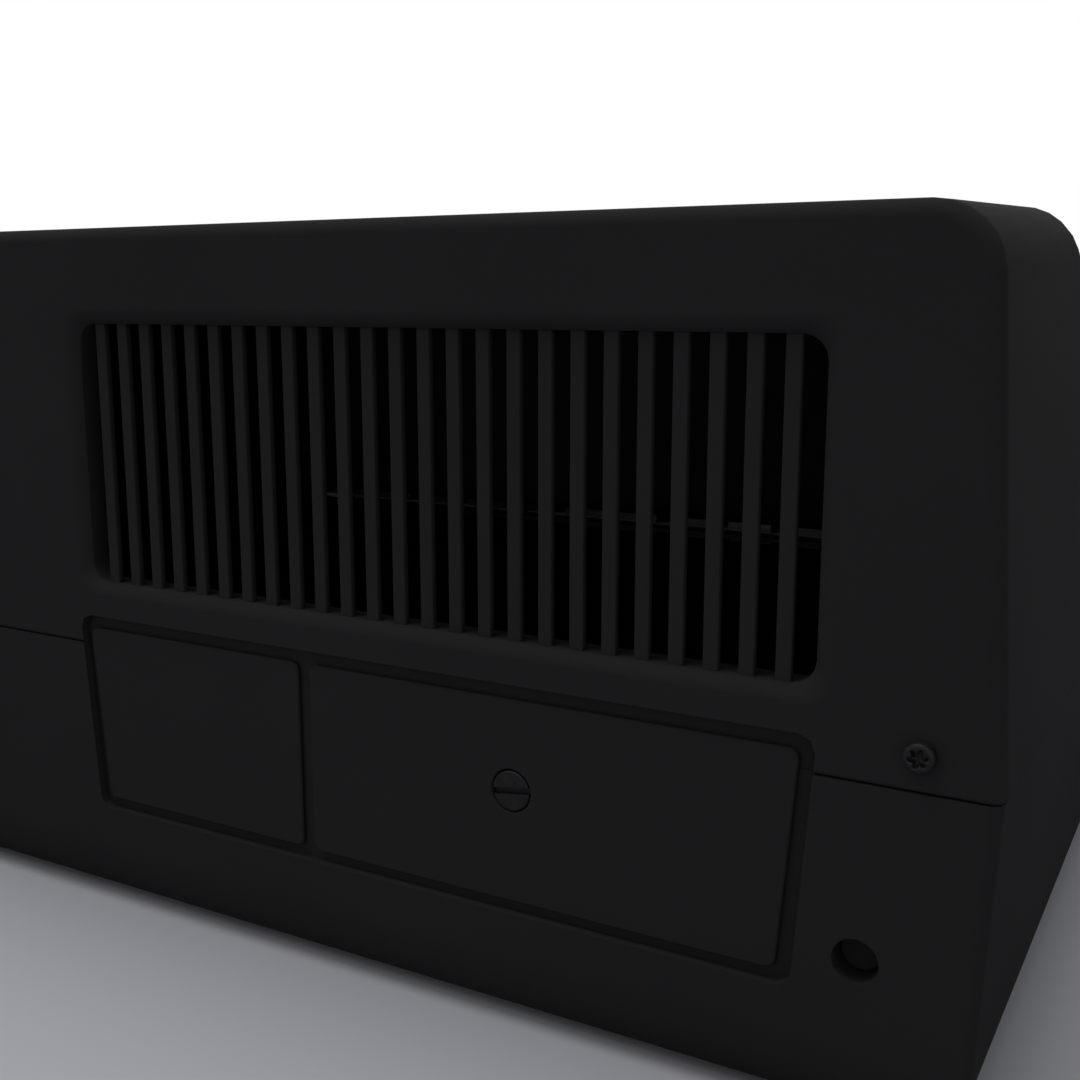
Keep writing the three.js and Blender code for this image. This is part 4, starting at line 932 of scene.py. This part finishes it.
def buildSwitchPlate(look):
    # Its faces stay triangles, because one face with forty holes doesn't survive the rounding of its edges
    mesh = meshFromWork("switchPlate", mergedWork("keyboard_plate", joinFlats=False))
    size = inMetres(look)
    step = size["levelStep"]
    areas = {}
    for face in mesh.polygons:
        if face.normal.dot(deckUp) > look["facingUp"]:
            level = round(face.center.dot(deckUp) / step)
            areas[level] = areas.get(level, 0.0) + face.area
    top = max(areas, key=areas.get) * step
    bottom = top - size["thickness"]
    for face in mesh.polygons:
        level = face.center.dot(deckUp)
        face.material_index = 0 if bottom - step < level < top + step else 1
    piece = newPiece("key_switch_plate", mesh, [plateSteel, socketPlastic],
                     "case", ["keyboard_plate"])
    softenEdges(piece, size["edge"])


buildSwitchPlate(switchPlateLook)
print("switch plate made")


# Speaker under the deck: basket and magnet, rolled surround, cone and dust cap

speakerLook = {
    "rim": 24.0, "rimThickness": 2.0, "rimRound": 0.2, "rimFoot": 3.0, "footDrop": 0.4,
    "depth": 16.0, "magnetRadius": 13.0, "magnetHeight": 8.0, "magnetRound": 0.4,
    "neck": 2.0, "neckRise": 0.2,
    "surroundOuter": 21.6, "surroundInner": 18.2, "surroundRise": 1.1, "surroundDrop": 1.3, "lip": 0.4,
    "coneRoot": 7.4, "coneDepth": 6.6, "coneCurve": 0.85, "capRise": 2.6, "capTip": 0.3, "backTip": 0.5,
    "surroundSteps": 8, "coneSteps": 6, "sides": 72,
}


def buildSpeaker(look):
    low, high = deckBox("speaker")
    centre = deckTurn @ Vector(((low.x + high.x) / 2, (low.y + high.y) / 2, high.z))
    depth, magnet, rim, thick = (look[key] for key in ("depth", "magnetRadius", "rim", "rimThickness"))
    outer, inner, drop = look["surroundOuter"], look["surroundInner"], look["surroundDrop"]
    root, coneDepth = look["coneRoot"], look["coneDepth"]
    backOfCone = -depth + look["magnetHeight"]
    profile = [
        (look["backTip"], -depth), (magnet - look["magnetRound"], -depth),
        (magnet, -depth + look["magnetRound"]), (magnet, backOfCone),
        (magnet - look["neck"], backOfCone + look["neckRise"]),
        (rim - look["rimFoot"], -thick - look["footDrop"]), (rim, -thick), (rim, -look["rimRound"]),
        (rim - look["rimRound"], 0.0), (outer + look["lip"], 0.0),
    ]
    bands = [0] * (len(profile) - 1)
    for step in range(look["surroundSteps"] + 1):
        turn = math.pi * step / look["surroundSteps"]
        profile.append((
            (outer + inner) / 2 + (outer - inner) / 2 * math.cos(turn),
            -drop + look["surroundRise"] * math.sin(turn)))
        bands.append(0 if step == 0 else 1)
    for step in range(1, look["coneSteps"] + 1):
        share = step / look["coneSteps"]
        height = -drop - (coneDepth - drop) * share ** look["coneCurve"]
        profile.append((inner + (root - inner) * share, height))
        bands.append(2)
    for turn in quarterTurn(look["coneSteps"], 1):
        height = -coneDepth + look["capRise"] * math.sin(turn)
        profile.append((max(root * math.cos(turn), look["capTip"]), height))
        bands.append(3)
    work = lathe(
        [(radius * mm, height * mm) for radius, height in profile],
        centre, deckRight, deckAway, deckUp, look["sides"], finishOf=bands)
    newPiece(
        "speaker_driver", meshFromWork("speaker", work), [plateSteel, footRubber, speakerCone, socketPlastic],
        "case", ["speaker"])


buildSpeaker(speakerLook)
print("speaker made")


# Rubber foot strips with cross ribs that meet the floor

footLook = {
    "ribHeight": 0.5, "ribPitch": 3.0, "ribWidth": 1.5, "ribRound": 0.22, "ribMargin": 4.2,
    "cornerRadius": 3.6, "cornerSteps": 8, "edgeRound": 0.4, "edgeShare": 0.3, "topRound": 0.1,
}


def buildFootStrip(node, look):
    low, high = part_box(node)
    size = inMetres(look)
    bottom = low.z + size["ribHeight"]
    edge, part = size["edgeRound"], size["edgeRound"] * look["edgeShare"]
    rings = []
    for height, inset in (
            (bottom, edge), (bottom + part, part), (bottom + edge, 0.0),
            (high.z - size["topRound"], 0.0), (high.z, size["topRound"])):
        rings.append(roundedRing((low.x + inset, low.y + inset), (high.x - inset, high.y - inset),
                                 size["cornerRadius"] - inset, height, look["cornerSteps"]))
    work = bmesh.new()
    loftRings(work, rings)
    faceOutwards(work)
    length = high.x - low.x - 2 * size["ribMargin"]
    count = int(length / size["ribPitch"]) + 1
    first = (low.x + high.x) / 2 - (count - 1) * size["ribPitch"] / 2
    reach = (high.y - low.y) / 2 - edge
    mesh = runTree(barRowTree(), meshFromWork(node, work), {
        "Bar Count": count,
        "First Bar": (first, (low.y + high.y) / 2, bottom),
        "Step": (size["ribPitch"], 0.0, 0.0),
        "Bar Width": size["ribWidth"],
        "Bar Thickness": 2 * size["ribHeight"],
        "Foot": (0.0, -reach, 0.0),
        "Head": (0.0, reach, 0.0),
        "Edge Round": size["ribRound"],
        "Finish": footRubber,
    })
    newPiece(node + "_rubber", mesh, [footRubber], "case", [node])


for footNode in ("front_foot_strip", "rear_foot_strip"):
    buildFootStrip(footNode, footLook)
print("foot strips made")


# Main board: packages, cans and their legs

mainBoardLook = {
    "thickness": 1.6, "edge": 0.15, "clearOfBoard": 0.1, "tallPart": 10.0, "widePart": 20.0,
    "facingUp": 0.9, "legEndGap": 1.0, "legPitch": 2.54, "legWidth": 0.55, "legThickness": 0.28,
    "legReach": 0.85, "legHeight": 2.1, "legSink": 0.3,
}


def legMesh(look):
    # One bent leg: out of the package and down to the board
    out, high, thick, sink = (look[key] * mm for key in ("legReach", "legHeight", "legThickness", "legSink"))
    half = look["legWidth"] * mm / 2
    outline = [(-sink, high), (out, high), (out, 0.0), (out - thick, 0.0),
               (out - thick, high - thick), (-sink, high - thick)]
    work = bmesh.new()
    loftRings(work, [[Vector((x, side, z)) for x, z in outline] for side in (-half, half)])
    bmesh.ops.recalc_face_normals(work, faces=work.faces)
    return meshFromWork("leg", work)


def legTree():
    tree, given, made = newTree("legs round the packages", [
        ("Leg", "NodeSocketObject"), ("Finish", "NodeSocketMaterial"),
    ])
    one = addNode(tree, "GeometryNodeObjectInfo", transform_space="ORIGINAL")
    facing = addNode(tree, "GeometryNodeInputNamedAttribute", {"Name": "facing"}, data_type="FLOAT")
    angles = addNode(tree, "ShaderNodeCombineXYZ")
    turn = addNode(tree, "FunctionNodeEulerToRotation")
    spread = addNode(tree, "GeometryNodeInstanceOnPoints")
    wire(
        tree, (given, "Leg", one, "Object"),
        (facing, "Attribute", angles, "Z"), (angles, "Vector", turn, "Euler"),
        (given, "Geometry", spread, "Points"), (one, "Geometry", spread, "Instance"),
        (turn, "Rotation", spread, "Rotation"))
    return endTree(tree, given, made, spread, "Instances")


def raisedParts(work, level):
    # Groups of joined faces that stand above the board
    parts, seen = [], set()
    for first in work.faces:
        if first in seen or first.calc_center_median().z < level:
            continue
        seen.add(first)
        group, waiting = [], [first]
        while waiting:
            face = waiting.pop()
            group.append(face)
            for edge in face.edges:
                for other in edge.link_faces:
                    if other not in seen and other.calc_center_median().z > level:
                        seen.add(other)
                        waiting.append(other)
        parts.append(group)
    return parts


def legPlaces(low, high, top, pitch, endGap):
    # Along both long sides of a package, each with the way it faces
    wide, deep = high.x - low.x, high.y - low.y
    middle = (low + high) / 2
    count = int((max(wide, deep) - endGap) / pitch)
    for i in range(count):
        along = (i - (count - 1) / 2) * pitch
        for side in (-1, 1):
            if wide > deep:
                yield (middle.x + along, middle.y + side * deep / 2, top), side * math.pi / 2
            else:
                yield (middle.x + side * wide / 2, middle.y + along, top), (side - 1) * math.pi / 2


def buildMainBoard(look):
    # Triangles here too, because the parts that stand on the board cut its top face up
    work = mergedWork("main_board", joinFlats=False)
    size = inMetres(look)
    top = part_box("main_board")[0].z + size["thickness"]
    legs = []
    for group in raisedParts(work, top + size["clearOfBoard"]):
        low, high = boxOf([vertex.co for face in group for vertex in face.verts])
        isTall = high.z - top > size["tallPart"]
        isWide = high.x - low.x > size["widePart"]
        for face in group:
            if not isTall:
                face.material_index = 1
            elif isWide or face.normal.z > look["facingUp"]:
                face.material_index = 2
            else:
                face.material_index = 3
        if not isTall:
            legs += legPlaces(low, high, top, size["legPitch"], size["legEndGap"])
    points = bpy.data.meshes.new("legPoints")
    points.from_pydata([place for place, turn in legs], [], [])
    facing = points.attributes.new("facing", "FLOAT", "POINT")
    facing.data.foreach_set("value", [turn for place, turn in legs])
    leg = addObject("oneLeg", legMesh(look))
    made = runTree(legTree(), points, {"Leg": leg, "Finish": nickel})
    bpy.data.objects.remove(leg)
    work = roundedWork(work, size["edge"])
    addMesh(work, made, 2)
    shadeEvenly(newPiece(
        "main_board_populated", meshFromWork("mainBoard", work),
        [circuitBoard, socketPlastic, nickel, capacitorSleeve], "case", ["main_board"]))
    print("main board made with", len(legs), "legs")


buildMainBoard(mainBoardLook)


# Riser card with the expansion socket and its contacts

riserLook = {
    "edge": 0.15, "socketDepth": 13.0, "clearOfCard": 0.05, "housingWidth": 92.0, "endWall": 6.0,
    "slotDepth": 9.0, "slotHeight": 3.2, "contactPitch": 2.54, "contactWidth": 1.1, "contactHeight": 0.7,
    "contactSetBack": 0.8, "contactSink": 0.2, "contactRound": 0.2,
}


def buildRiser(look):
    low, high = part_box("expansion_riser")
    size = inMetres(look)
    work = mergedWork("expansion_riser")
    card = high.y - size["socketDepth"]
    housing = [face for face in work.faces if face.calc_center_median().y > card + size["clearOfCard"]]
    for face in housing:
        face.material_index = 1
    heights = [vertex.co.z for face in housing for vertex in face.verts]
    middleZ = (min(heights) + max(heights)) / 2
    work = roundedWork(work, size["edge"])
    length = size["housingWidth"] - 2 * size["endWall"]
    count = int(length / size["contactPitch"]) + 1
    firstX = (low.x + high.x) / 2 - (count - 1) * size["contactPitch"] / 2
    for side in (-1, 1):
        row = runTree(barRowTree(), bpy.data.meshes.new("noBase"), {
            "Bar Count": count,
            "First Bar": (firstX, 0.0, middleZ + side * size["slotHeight"] / 2),
            "Step": (size["contactPitch"], 0.0, 0.0),
            "Bar Width": size["contactWidth"],
            "Bar Thickness": size["contactHeight"],
            "Foot": (0.0, high.y - size["slotDepth"] - size["contactSink"], 0.0),
            "Head": (0.0, high.y - size["contactSetBack"], 0.0),
            "Edge Round": size["contactRound"],
            "Finish": nickel,
        })
        addMesh(work, row, 2)
    shadeEvenly(newPiece(
        "expansion_riser_card", meshFromWork("riser", work), [circuitBoard, socketPlastic, nickel],
        "case", ["expansion_riser"]))


buildRiser(riserLook)
heatSinkLook = {"edge": 0.25, "angle": 32.0, "segments": 2}
roundedCopy("heat_sink", "heat_sink_fins", "case", blackAnodised, heatSinkLook)
print("riser and heat sink made")


# Camera at the viewing angle of the photograph

cameraPlace = {
    "location": (-0.2139, 0.36865, 0.1536),
    "heading": (0.4920, -0.8706),
    "pitch": 10.516,
    "lens": 43.456,
    "sensor": 36.0,
    "clip": (0.01, 50.0),
}


def placeCamera(place):
    data = bpy.data.cameras.new("photoCamera")
    data.sensor_width = place["sensor"]
    data.sensor_fit = "AUTO"
    data.lens = place["lens"]
    data.clip_start, data.clip_end = place["clip"]
    camera = addObject("photoCamera", data)
    pitch = math.radians(place["pitch"])
    x, y = place["heading"]
    forward = Vector((x * math.cos(pitch), y * math.cos(pitch), -math.sin(pitch)))
    camera.location = place["location"]
    camera.rotation_mode = "QUATERNION"
    camera.rotation_quaternion = forward.to_track_quat("-Z", "Y")
    bpy.context.scene.camera = camera


placeCamera(cameraPlace)


# Floor, background and lamps

studio = {
    "floorColour": (0.338, 0.341, 0.372),
    "floorRoughness": 0.9,
    "floorSpecular": 0.1,
    "floorRadius": 6.0,
    "fadeStart": 0.9,
    "fadeEnd": 2.4,
    "skyStrength": 0.58,
    "lamps": (
        # name, place, aim, size, watts
        ("topLamp", (0.35, 0.1, 2.0), (0.1, 0.0, 0.1), 1.5, 27.0),
        ("rearLamp", (0.4, 1.2, 2.1), (0.0, 0.1, 0.08), 1.2, 3.0),
        ("frontLamp", (0.5, -1.7, 1.5), (0.0, 0.0, 0.08), 1.6, 7.0),
    ),
}


def buildFloor(look):
    work = bmesh.new()
    bmesh.ops.create_circle(work, cap_ends=True, segments=96, radius=look["floorRadius"])
    floor = addObject("floor", meshFromWork("floor", work))
    finish, tree, shader = newMaterial("studioFloor", look["floorSpecular"])
    shader.inputs["Base Color"].default_value = (*look["floorColour"], 1.0)
    shader.inputs["Roughness"].default_value = look["floorRoughness"]
    # Far out, the floor fades into the white background, only where the camera sees it
    place = addNode(tree, "ShaderNodeTexCoord")
    reach = addNode(tree, "ShaderNodeVectorMath", operation="LENGTH")
    fade = addNode(tree, "ShaderNodeMapRange", {"From Min": look["fadeStart"], "From Max": look["fadeEnd"]},
                   interpolation_type="SMOOTHSTEP")
    white = addNode(tree, "ShaderNodeEmission", {"Strength": 1.0})
    seen = addNode(tree, "ShaderNodeLightPath")
    onlySeen = addNode(tree, "ShaderNodeMath", operation="MULTIPLY")
    mix = addNode(tree, "ShaderNodeMixShader")
    wire(
        tree, (place, "Object", reach, "Vector"), (reach, "Value", fade, "Value"),
        (fade, "Result", onlySeen, 0),
        (seen, "Is Camera Ray", onlySeen, 1), (onlySeen, "Value", mix, "Fac"), (shader, "BSDF", mix, 1),
        (white, "Emission", mix, 2), (mix, "Shader", tree.nodes["Material Output"], "Surface"))
    floor.data.materials.append(finish)


def buildSky(look):
    # White where it is seen straight, mirrored or through something, and dimmer as a light
    world = bpy.data.worlds.new("studio")
    bpy.context.scene.world = world
    world.use_nodes = True
    tree = world.node_tree
    white = (1.0, 1.0, 1.0, 1.0)
    ambient = tree.nodes["Background"]
    ambient.inputs["Color"].default_value = white
    ambient.inputs["Strength"].default_value = look["skyStrength"]
    shown = addNode(tree, "ShaderNodeBackground", {"Color": white, "Strength": 1.0})
    seen = addNode(tree, "ShaderNodeLightPath")
    mirrored = addNode(tree, "ShaderNodeMath", operation="MAXIMUM")
    anyOfThem = addNode(tree, "ShaderNodeMath", operation="MAXIMUM")
    mix = addNode(tree, "ShaderNodeMixShader")
    wire(
        tree, (seen, "Is Camera Ray", mirrored, 0), (seen, "Is Glossy Ray", mirrored, 1),
        (mirrored, 0, anyOfThem, 0), (seen, "Is Transmission Ray", anyOfThem, 1), (anyOfThem, 0, mix, 0),
        (ambient, 0, mix, 1), (shown, 0, mix, 2), (mix, 0, tree.nodes["World Output"], "Surface"))


def placeLamps(look):
    for name, location, aim, size, watts in look["lamps"]:
        data = bpy.data.lights.new(name, "AREA")
        data.shape = "DISK"
        data.size = size
        data.energy = watts
        lamp = addObject(name, data)
        lamp.location = location
        lamp.rotation_mode = "QUATERNION"
        lamp.rotation_quaternion = (Vector(aim) - Vector(location)).to_track_quat("-Z", "Y")


buildFloor(studio)
buildSky(studio)
placeLamps(studio)
bpy.context.scene.view_settings.view_transform = "Standard"
print("studio made")


shownSolids = [name for name, node in nodes.items() if not node.hide_render]
print("solids without a finished piece:", shownSolids)
